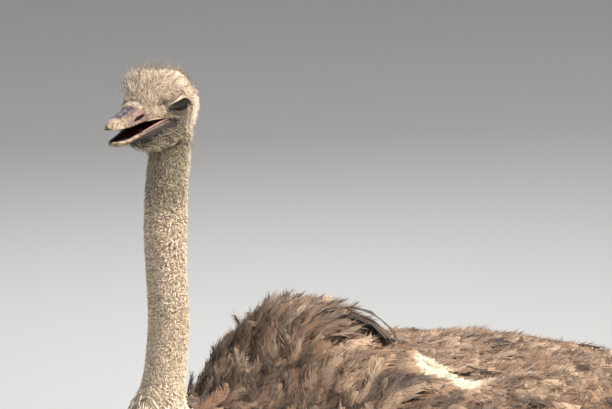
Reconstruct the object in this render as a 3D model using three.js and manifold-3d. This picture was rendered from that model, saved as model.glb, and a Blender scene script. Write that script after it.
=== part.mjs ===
// A life-size standing ostrich hen with her head turned a little to the left and her bill ajar.
// Millimetres, +Z up. The bird faces -Y, so her left side is +X. The floor is z = 0, and the origin is on it
// at the middle of the whole bird's footprint box.
// Every solid reaches out to the tips of the plumage, and neighbours meet with a hair's breadth between them.
import * as THREE from "three";
import Module from "manifold-3d";

const wasm = await Module();
wasm.setup();

// ---------------------------------------------------------------- driving dimensions
const gap = 0.4; // between solids that meet
const neckBaseHeight = 1180; // where the neck leaves the breast
// where the point midway between the eyes is, and the head's turns in degrees
const headPose = { at: [25, -15, 1688], yaw: 16, pitch: 4.5, roll: 6 };
const gapeAngle = 15.5; // how far the lower jaw hangs open
const eyeRadius = 24;
const eyeOut = 24.8; // from the head's middle plane to the centre of an eye
const legStagger = 55; // how far the left foot stands ahead of the middle, and the right foot behind it

const colours = {
  plume: [0x6f5a4a, 0.9],
  wing: [0x78624f, 0.9],
  tail: [0x9b8873, 0.9],
  down: [0xa99c8a, 0.95],
  face: [0xb39a80, 0.9],
  horn: [0xb7a08c, 0.45],
  eye: [0x1b120d, 0.15],
  skin: [0xa88f83, 0.7],
  scale: [0x9a8578, 0.6],
  claw: [0x3d352f, 0.5],
};

// ---------------------------------------------------------------- helpers
const { cos, sin, abs, sign, sqrt, PI, max, min } = Math;
const radians = (degrees) => (degrees * PI) / 180;
const mix = (a, b, t) => a + (b - a) * t;
const clamp01 = (t) => min(1, max(0, t));
const bump = (t) => (abs(t) < 1 ? (1 + cos(PI * t)) / 2 : 0); // 1 at 0, falling smoothly to 0 at +-1

// Rows of [position, value, value, ...] read as smooth curves that never overshoot between rows.
function smoothTable(rows) {
  const columns = rows[0].length - 1;
  const slope = (a, b, k) => (b[k] - a[k]) / (b[0] - a[0]);
  const tangent = (i, k) => {
    if (i === 0) return slope(rows[0], rows[1], k);
    if (i === rows.length - 1) return slope(rows[i - 1], rows[i], k);
    const before = slope(rows[i - 1], rows[i], k);
    const after = slope(rows[i], rows[i + 1], k);
    return before * after <= 0 ? 0 : (2 * before * after) / (before + after);
  };
  return (at) => {
    const where = min(max(at, rows[0][0]), rows[rows.length - 1][0]);
    let i = 0;
    while (i < rows.length - 2 && where > rows[i + 1][0]) i++;
    const width = rows[i + 1][0] - rows[i][0];
    const t = (where - rows[i][0]) / width;
    return Array.from({ length: columns }, (_, c) => {
      const k = c + 1;
      const rise = (3 - 2 * t) * t * t;
      const leaving = (t - 2) * t * t + t;
      const arriving = (t - 1) * t * t;
      const bend = width * (leaving * tangent(i, k) + arriving * tangent(i + 1, k));
      return mix(rows[i][k], rows[i + 1][k], rise) + bend;
    });
  };
}

// A manifold solid from points and triangles, turned so that its faces point out.
function solidOf(points, triangles) {
  let volume = 0;
  for (const [a, b, c] of triangles) {
    volume += new THREE.Vector3(...points[a]).dot(
      new THREE.Vector3(...points[b]).cross(new THREE.Vector3(...points[c])),
    );
  }
  const facing = volume < 0 ? triangles.map(([a, b, c]) => [a, c, b]) : triangles;
  return new wasm.Manifold(
    new wasm.Mesh({
      numProp: 3,
      vertProperties: new Float32Array(points.flat()),
      triVerts: new Uint32Array(facing.flat()),
    }),
  );
}

// A closed skin over rings of points. ringAt(t) gives ring t's points, as a list.
// Each end closes on its middle.
function loft(ringAt, rings, sides) {
  const points = [];
  const triangles = [];
  for (let i = 0; i <= rings; i++) points.push(...ringAt(i / rings, sides));
  for (let i = 0; i < rings; i++) {
    for (let j = 0; j < sides; j++) {
      const a = i * sides + j;
      const b = i * sides + ((j + 1) % sides);
      triangles.push([a, b, a + sides], [b, b + sides, a + sides]);
    }
  }
  for (const [ring, flip] of [[0, true], [rings, false]]) {
    const first = ring * sides;
    const middle = [0, 1, 2].map((k) => {
      let sum = 0;
      for (let j = 0; j < sides; j++) sum += points[first + j][k];
      return sum / sides;
    });
    points.push(middle);
    for (let j = 0; j < sides; j++) {
      const a = first + j;
      const b = first + ((j + 1) % sides);
      triangles.push(flip ? [points.length - 1, b, a] : [points.length - 1, a, b]);
    }
  }
  return solidOf(points, triangles);
}

// One ring of points: an oval about centre, wide along across, that reaches up and down along rise.
// A square of 2 is an ellipse, and more fills its corners out. Relief scales the ring by its angle.
function oval(centre, across, rise, { wide, up, down, square = 2, relief = () => 1 }, sides) {
  const ring = [];
  for (let j = 0; j < sides; j++) {
    const angle = (2 * PI * j) / sides;
    const c = sign(cos(angle)) * abs(cos(angle)) ** (2 / square) * wide * relief(angle);
    const s = sign(sin(angle)) * abs(sin(angle)) ** (2 / square) * relief(angle);
    const h = s * (s > 0 ? up : down);
    ring.push([0, 1, 2].map((k) => centre[k] + across[k] * c + rise[k] * h));
  }
  return ring;
}

// A tube of ovals along a smooth path. Rows are [t, x, y, z, halfWidth, halfDepth].
// The width lies along across.
function limb(rows, rings, sides, across = [1, 0, 0], grow = 0) {
  const read = smoothTable(rows);
  const side = new THREE.Vector3(...across).normalize();
  return loft(
    (t) => {
      const [x, y, z, wide, deep] = read(t);
      const ahead = read(min(1, t + 0.01));
      const behind = read(max(0, t - 0.01));
      const along = new THREE.Vector3(...ahead).sub(new THREE.Vector3(...behind)).normalize();
      const rise = new THREE.Vector3().crossVectors(along, side).normalize();
      const flat = new THREE.Vector3().crossVectors(rise, along).normalize();
      const size = { wide: wide + grow, up: deep + grow, down: deep + grow };
      return oval([x, y, z], flat.toArray(), rise.toArray(), size, sides);
    },
    rings,
    sides,
  );
}

// One drooping plume: a flat blade from root along heading, sinking by droop at its tip.
function plume({ root, heading, length, wide, thick, droop, face = [0, 0, 1] }, grow = 0) {
  const forward = new THREE.Vector3(...heading).normalize();
  const outward = new THREE.Vector3(...face).normalize();
  const side = new THREE.Vector3().crossVectors(forward, outward).normalize();
  const sag = (t) => new THREE.Vector3(0, 0, -droop * t * t);
  const point = (t) => new THREE.Vector3(...root).addScaledVector(forward, length * t).add(sag(t));
  return loft(
    (t, sides) => {
      const along = point(t + 0.02).sub(point(t - 0.02)).normalize();
      const rise = new THREE.Vector3().crossVectors(side, along).normalize();
      const body = sqrt(sin(PI * mix(0.12, 0.96, t))); // full for most of its length, round at the tip
      const size = { wide: wide * body + grow, up: thick * body + grow, down: thick * body + grow };
      return oval(point(t).toArray(), side.toArray(), rise.toArray(), size, sides);
    },
    5,
    6,
  );
}

// Everything above or below a height, within reach of the bird.
const reach = 3000;
const slab = (low, high) => {
  const corners = [[-1, -1], [1, -1], [1, 1], [-1, 1]];
  const ring = (t) => corners.map(([x, y]) => [x * reach, y * reach, mix(low, high, t)]);
  return loft(ring, 1, 4);
};
const above = (z) => slab(z, reach);
const below = (z) => slab(-reach, z);
const union = (parts) => parts.reduce((whole, part) => whole.add(part));
const subtract = (part, cutters) => cutters.reduce((left, cutter) => left.subtract(cutter), part);
const largest = (solid) => solid.decompose().reduce((a, b) => (b.volume() > a.volume() ? b : a));
// what has to be cut from a neighbour so that the two keep clear
const roomFor = (shape) => shape(0).add(shape(gap));

function meshOf(name, solid, [colour, roughness]) {
  const { numProp, vertProperties, triVerts } = solid.getMesh();
  const positions = new Float32Array((vertProperties.length / numProp) * 3);
  for (let i = 0; i < positions.length / 3; i++) {
    for (let k = 0; k < 3; k++) positions[3 * i + k] = vertProperties[numProp * i + k];
  }
  const geometry = new THREE.BufferGeometry();
  geometry.setAttribute("position", new THREE.BufferAttribute(positions, 3));
  geometry.setIndex(new THREE.BufferAttribute(new Uint32Array(triVerts), 1));
  geometry.computeVertexNormals();
  const material = new THREE.MeshStandardMaterial({ color: colour, roughness, metalness: 0 });
  const mesh = new THREE.Mesh(geometry, material);
  mesh.name = name;
  return mesh;
}

// ---------------------------------------------------------------- trunk
// Rows of [y, middle height, half width, rise to the back, drop to the belly, squareness],
// from breast to rump.
const trunkRows = [
  [-78, 1000, 14, 14, 14, 2],
  [-60, 1000, 74, 64, 78, 2],
  [-20, 1000, 122, 112, 128, 2],
  [40, 1000, 156, 148, 172, 2],
  [110, 998, 171, 170, 206, 1.85],
  [200, 995, 190, 226, 238, 2],
  [300, 992, 246, 286, 252, 2.2],
  [400, 990, 270, 256, 260, 2.4],
  [500, 990, 266, 200, 262, 2.15],
  [600, 992, 258, 169, 254, 2.1],
  [730, 996, 240, 150, 236, 2.1],
  [860, 1002, 208, 109, 196, 2.1],
  [960, 1010, 160, 68, 142, 2],
  [1030, 1016, 100, 42, 84, 2],
  [1060, 1020, 16, 12, 16, 2],
];
const trunkAt = smoothTable(trunkRows);
const trunkEnds = [trunkRows[0][0], trunkRows[trunkRows.length - 1][0]];

// A point over the trunk's side: angle 0 is straight out to the left, 90 degrees the ridge of the back.
function onTrunk(y, angle, out = 0) {
  const [middle, wide, up, down, square] = trunkAt(y);
  const c = sign(cos(angle)) * abs(cos(angle)) ** (2 / square);
  const s = sign(sin(angle)) * abs(sin(angle)) ** (2 / square);
  return [(wide + out) * c, y, middle + s * ((s > 0 ? up : down) + out)];
}

function trunkCore(grow) {
  const feathered = 0.016; // how deep the overlapping feather rows step the outline
  return loft(
    (t, sides) => {
      const eased = mix(t, (1 - cos(PI * t)) / 2, 0.6);
      const y = mix(trunkEnds[0] - grow, trunkEnds[1] + grow, eased);
      const [middle, wide, up, down, square] = trunkAt(y);
      const relief = (angle) => 1 + feathered * sin(y / 26 + 3 * sin(5 * angle));
      const size = { wide: wide + grow, up: up + grow, down: down + grow, square, relief };
      return oval([0, y, middle], [1, 0, 0], [0, 0, 1], size, sides);
    },
    28,
    22,
  );
}

// Ruffled plumes over the shoulders that rise and curl backwards, and the longer ones
// that hang over the notch.
const shoulderPlumes = [];
for (const [y, angle, turn, climb, length, droop] of [
  [238, 108, -14, 1, 98, 14],
  [244, 84, 6, 1, 100, 14],
  [262, 62, 12, 0.8, 105, 22],
  [322, 98, -6, 0.12, 165, 62],
  [335, 77, 4, 0.1, 170, 62],
  [350, 58, 12, 0.06, 165, 60],
]) {
  const root = onTrunk(y, radians(angle), -20);
  const heading = [sin(radians(turn)), cos(radians(turn)), climb];
  shoulderPlumes.push({ root, heading, length, wide: 36, thick: 15, droop });
}
const trunkShape = (grow) => union([trunkCore(grow), ...shoulderPlumes.map((p) => plume(p, grow))]);

// ---------------------------------------------------------------- neck
// Rows of [t, x, y, z, half width, half depth] from inside the breast up into the head.
const neckRows = [
  [0, 0, 104, 1040, 96, 96],
  [0.1, 0, 46, 1088, 82, 84],
  [0.19, 0, 4, neckBaseHeight - 42, 60, 58],
  [0.25, 0, -4, neckBaseHeight - 13, 49, 47],
  [0.31, 0, 3, neckBaseHeight + 12, 39, 40],
  [0.38, 0, 12, neckBaseHeight + 55, 33.5, 35],
  [0.5, 0, 20, neckBaseHeight + 137, 33.5, 35],
  [0.63, 0, 16, neckBaseHeight + 215, 32.5, 34.5],
  [0.76, 2, 14, neckBaseHeight + 292, 35.5, 37.5],
  [0.87, 6, 18, neckBaseHeight + 365, 35, 37],
  [0.94, 10, 23, neckBaseHeight + 420, 34, 38],
  [1, 13, 22, neckBaseHeight + 478, 28, 34],
];
const neckShape = (grow) => limb(neckRows, 22, 12, [1, 0.12, 0], grow);
// heights that part the neck into three lengths
const neckCuts = [neckBaseHeight + 130, neckBaseHeight + 270];

// ---------------------------------------------------------------- head, in its own frame
// Forward is +X, the bird's left is +Y and up is +Z, from the point midway between the eyes.
const headTurn = new THREE.Matrix4().makeBasis(
  new THREE.Vector3(0, -1, 0),
  new THREE.Vector3(1, 0, 0),
  new THREE.Vector3(0, 0, 1),
);
const headMatrix = new THREE.Matrix4()
  .makeTranslation(...headPose.at)
  .multiply(new THREE.Matrix4().makeRotationZ(radians(headPose.yaw)))
  .multiply(headTurn)
  .multiply(new THREE.Matrix4().makeRotationY(radians(-headPose.pitch)))
  .multiply(new THREE.Matrix4().makeRotationX(radians(headPose.roll)));

// A closed skin along the head's length. Rows are [forward, half width, top, bottom].
function headLoft(rows, rings, sides, square, grow, shape = () => 1) {
  const read = smoothTable(rows);
  const ends = [rows[0][0] - grow, rows[rows.length - 1][0] + grow];
  return loft(
    (t) => {
      const x = mix(ends[0], ends[1], mix(t, (1 - cos(PI * t)) / 2, 0.5));
      const [wide, top, bottom] = read(x);
      const half = (top - bottom) / 2 + grow;
      const size = { wide: wide + grow, up: half, down: half, square, relief: (angle) => shape(x, angle) };
      return oval([x, 0, (top + bottom) / 2], [0, 1, 0], [0, 0, 1], size, sides);
    },
    rings,
    sides,
  );
}

// The skull with its crown, brows, cheeks and feathered face, down to the gape line.
const craniumRows = [
  [-68, 6, 12, -16],
  [-64, 20, 26, -32],
  [-50, 34, 40, -48],
  [-28, 42, 48, -54],
  [-6, 44.5, 49, -50],
  [8, 44, 46, -30],
  [24, 40.5, 39, -23],
  [44, 34, 26, -22],
  [62, 26, 12, -20],
  [73, 21, 3, -18],
];
const browLift = (x, angle) => 1 + 0.07 * bump((x - 2) / 34) * bump((abs(angle % PI) - 0.9) / 0.5);
const eyeBall = (side, grow) => {
  const centre = [0, side * eyeOut, 0];
  const radius = eyeRadius + grow;
  return loft(
    (t, sides) => {
      const polar = PI * mix(0.03, 0.97, t);
      const size = { wide: radius * sin(polar), up: radius * sin(polar), down: radius * sin(polar) };
      const middle = [0, centre[1] + radius * cos(polar), 0];
      return oval(middle, [1, 0, 0], [0, 0, 1], size, sides);
    },
    7,
    12,
  );
};
const craniumShape = (grow) => headLoft(craniumRows, 16, 18, 2.15, grow, browLift);

// The horny upper bill, broad and flat with a blunt nail at the tip.
const upperBillRows = [
  [58, 24.5, 9, -21.5],
  [72, 24, 4, -23],
  [88, 22.5, -3, -25.5],
  [104, 20, -9, -28],
  [116, 17, -13, -29],
  [126, 12.5, -17, -30],
  [132, 7, -20, -30],
  [134.5, 2.5, -23, -28],
];
const upperBillShape = (grow) => headLoft(upperBillRows, 11, 12, 2.5, grow);

// The lower bill with the slack skin of the throat, in the jaw's frame: x along the rim, the rim at z = 0.
const jawRows = [
  [-6, 34, 0, -36],
  [10, 33, 0, -42],
  [30, 29, 0, -40],
  [52, 25.5, 0, -31],
  [74, 23, 0, -19],
  [92, 20.5, 0, -13],
  [108, 18, 0.5, -10.5],
  [120, 13.5, 2.5, -7.5],
  [127, 7, 4, -4],
  [129, 2.5, 4, -1],
];
const jawHinge = [2, 0, -19.5]; // below and just behind the middle of the eye
const jawShape = (grow) =>
  headLoft(jawRows, 12, 12, 2.4, grow)
    .rotate([0, gapeAngle, 0])
    .translate(jawHinge);

// ---------------------------------------------------------------- wings
// A folded wing is a thick blanket of coverts wrapped over the flank, with loose plumes
// along its hind edge.
// Rows of [y, upper edge angle, lower edge angle, thickness], the angles in degrees round the trunk.
const wingRows = [
  [236, 26, -6, 3],
  [282, 38, -22, 12],
  [350, 43, -32, 24],
  [430, 47, -37, 33],
  [540, 49, -36, 38],
  [680, 47, -28, 34],
  [790, 42, -18, 25],
  [860, 30, -6, 8],
];
const wingAt = smoothTable(wingRows);
const wingEnds = [wingRows[0][0], wingRows[wingRows.length - 1][0]];
// how far the blanket's inner face lies inside the trunk before the trunk is cut out of it
const wingSink = 14;

function wingShape(side, grow) {
  const blanket = loft(
    (t, sides) => {
      const y = mix(wingEnds[0] - grow, wingEnds[1] + grow, mix(t, (1 - cos(PI * t)) / 2, 0.4));
      const [top, bottom, thick] = wingAt(y);
      const ring = [];
      const half = sides / 2;
      for (let j = 0; j < sides; j++) {
        const outer = j < half;
        const u = outer ? j / (half - 1) : 1 - (j - half) / (half - 1);
        const lap = 1 + 0.12 * sin(y / 21 + 9 * u); // rows of coverts
        const swell = thick * mix(0.15, 1, sqrt(sin(PI * clamp01(mix(0.03, 0.97, u))))) * lap;
        const angle = radians(mix(bottom, top, u));
        const [x, , z] = onTrunk(y, angle, outer ? swell + grow : -wingSink);
        ring.push([x * side, y, z]);
      }
      return ring;
    },
    15,
    14,
  );
  const plumes = [];
  const count = 7;
  for (let i = 0; i < count; i++) {
    const u = i / (count - 1);
    const y = mix(560, 735, sin(PI * u) * 0.5 + u * 0.5);
    const angle = radians(mix(-30, 36, u));
    const [x, , z] = onTrunk(y, angle, 12);
    const heading = [side * mix(0.08, -0.25, u), 0.9, mix(-0.75, -0.18, u)];
    const face = [side * cos(angle), 0, sin(angle)];
    const size = { length: mix(210, 235, sin(PI * u)), wide: 48, thick: 12, droop: mix(36, 58, u) };
    plumes.push(plume({ root: [x * side, y, z], heading, face, ...size }, grow));
  }
  return union([blanket, ...plumes]);
}

// ---------------------------------------------------------------- tail
// A drooping bunch of soft plumes that fans out from the rump.
function tailShape(grow) {
  const plumes = [];
  for (const { count, spread, height, pitch, length } of [
    { count: 4, spread: 44, height: 1040, pitch: 0.05, length: 209 },
    { count: 5, spread: 42, height: 1006, pitch: -0.4, length: 243 },
    { count: 4, spread: 32, height: 968, pitch: -1, length: 219 },
  ]) {
    for (let i = 0; i < count; i++) {
      const u = i / (count - 1) - 0.5;
      const turn = radians(2 * spread * u);
      const root = [165 * u, 960 - 60 * abs(u), height - 30 * abs(u)];
      const heading = [sin(turn), cos(turn), pitch];
      plumes.push(plume({ root, heading, length, wide: 50, thick: 17, droop: 96 - 40 * abs(u) }, grow));
    }
  }
  const root = limb(
    [
      [0, 0, 900, 1010, 120, 60],
      [0.5, 0, 1000, 1002, 112, 66],
      [1, 0, 1080, 975, 60, 40],
    ],
    5,
    10,
    [1, 0, 0],
    grow,
  );
  return union([root, ...plumes]);
}

// ---------------------------------------------------------------- legs
const kneeHeight = 880;
const ankleHeight = 498;
const toeJointHeight = 66;
const legPlace = (side) => ({ side, ahead: side > 0 ? -legStagger : legStagger }); // y offset of the foot

// The drumstick: bulky muscle under the flank, thin and bare above the ankle.
function thighShape({ side, ahead }, grow) {
  const rows = [
    [0, side * 132, 410, kneeHeight, 96, 128],
    [0.3, side * 134, 470 + 0.2 * ahead, 770, 82, 104],
    [0.6, side * 130, 545 + 0.5 * ahead, 648, 48, 60],
    [0.82, side * 124, 590 + 0.7 * ahead, 560, 30, 36],
    [1, side * 120, 608 + 0.8 * ahead, ankleHeight, 31, 37],
  ];
  return limb(rows, 9, 12, [1, 0, 0], grow);
}

// The long shank with its knobbed ankle and scuted front.
function shankShape({ side, ahead }, grow) {
  const rows = [
    [0, side * 120, 612 + 0.8 * ahead, ankleHeight + 34, 27, 31],
    [0.1, side * 120, 612 + 0.8 * ahead, ankleHeight - 8, 34, 41],
    [0.24, side * 120, 600 + 0.82 * ahead, ankleHeight - 70, 24, 29],
    [0.5, side * 119, 570 + 0.9 * ahead, 290, 20, 24],
    [0.8, side * 118, 536 + 0.97 * ahead, 150, 21, 24],
    [0.93, side * 118, 520 + ahead, toeJointHeight + 22, 30, 31],
    [1, side * 118, 512 + ahead, toeJointHeight - 18, 27, 28],
  ];
  return limb(rows, 13, 10, [1, 0, 0], grow);
}

// One toe along the floor, with its sole cut flat. Rows are [distance from the heel,
// half width, top height].
function toe(rows, { from, turn }, grow) {
  const read = smoothTable(rows);
  const along = [sin(turn), -cos(turn), 0];
  const across = [cos(turn), sin(turn), 0];
  const length = rows[rows.length - 1][0];
  const whole = loft(
    (t, sides) => {
      const s = mix(-grow, length + grow, t);
      const [wide, top] = read(s);
      const centre = [from[0] + along[0] * s, from[1] + along[1] * s, top * 0.36];
      const size = { wide: wide + grow, up: top * 0.64 + grow, down: top * 0.64 + grow, square: 2.3 };
      return oval(centre, across, [0, 0, 1], size, sides);
    },
    10,
    8,
  );
  return grow ? whole : whole.subtract(below(0));
}

// Rows for the big inner toe with its jointed pads, and for the small outer toe.
const bigToeRows = [
  [0, 10, 30],
  [14, 27, 62],
  [44, 33, 72],
  [72, 29, 54],
  [100, 31, 50],
  [126, 27, 42],
  [152, 27, 40],
  [176, 22, 34],
  [190, 12, 24],
  [196, 4, 14],
];
const smallToeRows = [
  [0, 8, 24],
  [20, 20, 46],
  [52, 20, 40],
  [78, 18, 34],
  [102, 17, 31],
  [118, 12, 24],
  [126, 4, 13],
];
const heelOf = ({ side, ahead }) => [side * 114, 556 + ahead, 0];
const bigToe = (leg, grow) => toe(bigToeRows, { from: heelOf(leg), turn: leg.side * radians(-3) }, grow);
const smallToe = (leg, grow) => {
  const [x, y] = heelOf(leg);
  return toe(smallToeRows, { from: [x + leg.side * 18, y - 22, 0], turn: leg.side * radians(31) }, grow);
};
const footShape = (leg, grow) => union([bigToe(leg, grow), smallToe(leg, grow)]);

// The heavy hoof-like claw of the big toe.
function clawShape(leg, grow) {
  const turn = leg.side * radians(-3);
  const along = [sin(turn), -cos(turn)];
  const [x, y] = heelOf(leg);
  const at = (s, z) => [x + along[0] * s, y + along[1] * s, z];
  const claw = limb(
    [
      [0, ...at(168, 19), 12, 13],
      [0.5, ...at(196, 16), 11, 11.5],
      [0.85, ...at(214, 9.5), 6.5, 7],
      [1, ...at(224, 5), 2.5, 3],
    ],
    6,
    8,
    [cos(turn), sin(turn), 0],
    grow,
  );
  return grow ? claw : claw.subtract(below(0));
}

// ---------------------------------------------------------------- assembly
const bird = new THREE.Group();
bird.name = "ostrich";

const torso = new THREE.Group();
const grownTrunk = roomFor(trunkShape);
const tail = largest(subtract(tailShape(0), [grownTrunk]));
const grownTail = roomFor(tailShape);
const wingParts = [1, -1].map((side) => largest(subtract(wingShape(side, 0), [grownTrunk, grownTail])));
torso.add(meshOf("trunk", largest(trunkShape(0)), colours.plume));
torso.add(meshOf("tail", tail, colours.tail));
torso.add(meshOf("wing_left", wingParts[0], colours.wing));
torso.add(meshOf("wing_right", wingParts[1], colours.wing));

const neck = new THREE.Group();
const grownCranium = roomFor(craniumShape).transform(headMatrix.elements);
const grownJaw = roomFor(jawShape).transform(headMatrix.elements);
const wholeNeck = largest(subtract(neckShape(0), [grownTrunk, grownCranium, grownJaw]));
const [firstCut, secondCut] = neckCuts;
neck.add(
  meshOf("neck_lower", largest(wholeNeck.subtract(above(firstCut))), colours.down),
  meshOf(
    "neck_middle",
    largest(subtract(wholeNeck, [below(firstCut + gap), above(secondCut)])),
    colours.down,
  ),
  meshOf("neck_upper", largest(wholeNeck.subtract(below(secondCut + gap))), colours.down),
);

const head = new THREE.Group();
head.applyMatrix4(headMatrix);
const upperBill = subtract(upperBillShape(0), [roomFor(craniumShape)]);
const cranium = subtract(craniumShape(0), [eyeBall(1, gap), eyeBall(-1, gap)]);
const jaw = subtract(jawShape(0), [roomFor(craniumShape), roomFor(upperBillShape)]);
head.add(
  meshOf("head", largest(cranium), colours.face),
  meshOf("bill_upper", largest(upperBill), colours.horn),
  meshOf("bill_lower", largest(jaw), colours.horn),
  meshOf("eye_left", eyeBall(1, 0), colours.eye),
  meshOf("eye_right", eyeBall(-1, 0), colours.eye),
);

bird.add(torso, neck, head);

for (const [word, side] of [["left", 1], ["right", -1]]) {
  const leg = legPlace(side);
  const group = new THREE.Group();
  const grownWing = roomFor((grow) => wingShape(side, grow));
  const thigh = subtract(thighShape(leg, 0), [grownTrunk, grownWing]);
  const shank = subtract(shankShape(leg, 0), [roomFor((grow) => thighShape(leg, grow))]);
  const foot = subtract(footShape(leg, 0), [roomFor((grow) => shankShape(leg, grow))]);
  const toeRoom = roomFor((grow) => bigToe(leg, grow));
  group.add(
    meshOf("thigh_" + word, largest(thigh), colours.skin),
    meshOf("shank_" + word, largest(shank), colours.scale),
    meshOf("foot_" + word, largest(foot), colours.scale),
    meshOf("claw_" + word, largest(subtract(clawShape(leg, 0), [toeRoom])), colours.claw),
  );
  bird.add(group);
}

// The origin goes to the middle of the footprint box, on the floor.
bird.updateMatrixWorld(true);
const bounds = new THREE.Box3().setFromObject(bird, true);
const middle = bounds.getCenter(new THREE.Vector3());
bird.position.set(-middle.x, -middle.y, -bounds.min.z);

export default bird;
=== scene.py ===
import bpy
import numpy as np
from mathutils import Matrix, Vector


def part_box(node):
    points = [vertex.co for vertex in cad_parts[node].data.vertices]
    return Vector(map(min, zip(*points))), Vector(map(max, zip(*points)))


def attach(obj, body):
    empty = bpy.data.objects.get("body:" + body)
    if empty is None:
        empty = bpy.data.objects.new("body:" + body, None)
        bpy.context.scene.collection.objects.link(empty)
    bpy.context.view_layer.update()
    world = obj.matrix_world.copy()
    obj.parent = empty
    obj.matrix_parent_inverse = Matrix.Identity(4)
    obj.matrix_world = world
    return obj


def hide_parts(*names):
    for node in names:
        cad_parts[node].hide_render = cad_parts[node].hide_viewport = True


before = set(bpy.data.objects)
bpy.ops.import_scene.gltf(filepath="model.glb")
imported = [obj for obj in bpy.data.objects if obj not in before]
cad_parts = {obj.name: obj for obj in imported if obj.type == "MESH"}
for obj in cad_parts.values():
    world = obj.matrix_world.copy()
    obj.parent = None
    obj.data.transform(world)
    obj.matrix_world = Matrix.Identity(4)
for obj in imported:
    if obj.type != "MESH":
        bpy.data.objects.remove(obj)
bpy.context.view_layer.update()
print("frame loaded,", len(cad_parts), "solids")

mm = 0.001
pi = np.pi

# how the bird stands: turns in degrees, then how far back from the breast the neck's foot is, and its height
bird = {"headYaw": 16, "headPitch": 4.5, "headRoll": 6, "gape": 15.5, "breastFront": 78, "neckBase": 1180}


# small tools

def spaced(pieces):  # even steps from a to b, n to each [a, b, n], with the end of the last piece kept
    ends = [piece is pieces[-1] for piece in pieces]
    return np.concatenate([np.linspace(a, b, n, endpoint=end) for (a, b, n), end in zip(pieces, ends)])


def circle(count):  # even angles once round, in radians
    return np.linspace(0, 2 * pi, count, endpoint=False)


def apart(values):  # the last axis moved first, so that its parts can be named one by one
    return np.moveaxis(values, -1, 0)


def unit(v):  # each vector over its own length
    return v / np.maximum(np.linalg.norm(v, axis=-1, keepdims=True), 1e-12)


def dot(a, b):  # sum of products along the last axis, kept as a column
    return (a * b).sum(-1, keepdims=True)


def ease(low, high, x):  # 0 below low, 1 above high, and a smooth cubic step between
    t = np.clip((np.asarray(x, float) - low) / (high - low), 0, 1)
    return t * t * (3 - 2 * t)


def hill(x, centre, width):  # 1 at the centre, a cosine slope down to 0 a width away
    return 0.5 + 0.5 * np.cos(pi * np.clip((x - centre) / width, -1, 1))


def turnAbout(axis, degrees):  # the matrix that turns a point about one axis
    c, s = np.cos(np.radians(degrees)), np.sin(np.radians(degrees))
    return {
        "x": np.array([[1, 0, 0], [0, c, -s], [0, s, c]]),
        "y": np.array([[c, 0, s], [0, 1, 0], [-s, 0, c]]),
        "z": np.array([[c, -s, 0], [s, c, 0], [0, 0, 1]]),
    }[axis]


def readRows(rows, at):
    # cubic pieces through rows of [place, value, value, ...], with harmonic mean slopes so none overshoots
    rows, at = np.asarray(rows, float), np.asarray(at, float)
    x, v = rows[:, 0], rows[:, 1:]
    width = np.diff(x)
    slope = np.diff(v, axis=0) / width[:, None]
    lean = np.concatenate([slope[:1], np.zeros_like(slope[1:]), slope[-1:]])
    agree = slope[:-1] * slope[1:] > 0
    lean[1:-1] = np.where(agree, 2 * slope[:-1] * slope[1:] / np.where(agree, slope[:-1] + slope[1:], 1), 0)
    i = np.clip(np.searchsorted(x, at, side="right") - 1, 0, len(x) - 2)
    t = np.clip((at - x[i]) / width[i], 0, 1)[..., None]
    h = width[i][..., None]
    ends = (1 - t) ** 2 * (1 + 2 * t) * v[i] + t * t * (3 - 2 * t) * v[i + 1]
    return ends + h * t * (1 - t) * ((1 - t) * lean[i] - t * lean[i + 1])


def putMesh(name, points, quads, triangles=None):
    # one mesh from whole arrays: corner lists are laid end to end, quads first
    quads = np.asarray(quads, np.int32).reshape(-1, 4)
    triangles = np.zeros((0, 3), np.int32) if triangles is None else np.asarray(triangles, np.int32)
    corners = np.concatenate([quads.ravel(), triangles.ravel()])
    sizes = np.concatenate([np.full(len(quads), 4), np.full(len(triangles), 3)])
    starts = np.concatenate([[0], np.cumsum(sizes)[:-1]])
    mesh = bpy.data.meshes.new(name)
    mesh.vertices.add(len(points))
    mesh.vertices.foreach_set("co", np.ascontiguousarray(points, np.float32).ravel())
    mesh.loops.add(len(corners))
    mesh.loops.foreach_set("vertex_index", corners.astype(np.int32))
    mesh.polygons.add(len(sizes))
    mesh.polygons.foreach_set("loop_start", starts.astype(np.int32))
    mesh.polygons.foreach_set("use_smooth", np.ones(len(sizes), bool))
    mesh.update(calc_edges=True)
    piece = bpy.data.objects.new(name, mesh)
    bpy.context.scene.collection.objects.link(piece)
    return piece, corners


def addValues(piece, **values):  # one float for each point, under each name
    for name, numbers in values.items():
        layer = piece.data.attributes.new(name, "FLOAT", "POINT")
        layer.data.foreach_set("value", np.broadcast_to(numbers, len(piece.data.vertices)).astype(np.float32))


def addUV(piece, corners, name, uv):  # a point's place on the map, given to each of its corners
    layer = piece.data.uv_layers.new(name=name)
    layer.data.foreach_set("uv", np.ascontiguousarray(uv[corners], np.float32).ravel())


def gridFaces(rows, columns, around):
    # quads between neighbouring rows; where the grid goes around, the last column meets the first
    i, j = np.meshgrid(np.arange(rows - 1), np.arange(columns if around else columns - 1), indexing="ij")
    k = (j + 1) % columns
    here, below = i * columns, (i + 1) * columns
    return np.stack([here + j, below + j, below + k, here + k], -1)


def closedShell(grid):
    # a tube of rings, rows by columns, with a fan of triangles to a middle point at each end
    rows, columns = grid.shape[:2]
    poles = np.stack([grid[0].mean(0), grid[-1].mean(0)])
    points = np.concatenate([grid.reshape(-1, 3), poles])
    j = np.arange(columns)
    k = (j + 1) % columns
    last = (rows - 1) * columns
    nearPole, farPole = np.full(columns, rows * columns), np.full(columns, rows * columns + 1)
    fans = np.concatenate([np.stack([nearPole, j, k], -1), np.stack([farPole, last + k, last + j], -1)])
    return points, gridFaces(rows, columns, True).reshape(-1, 4), fans


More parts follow.
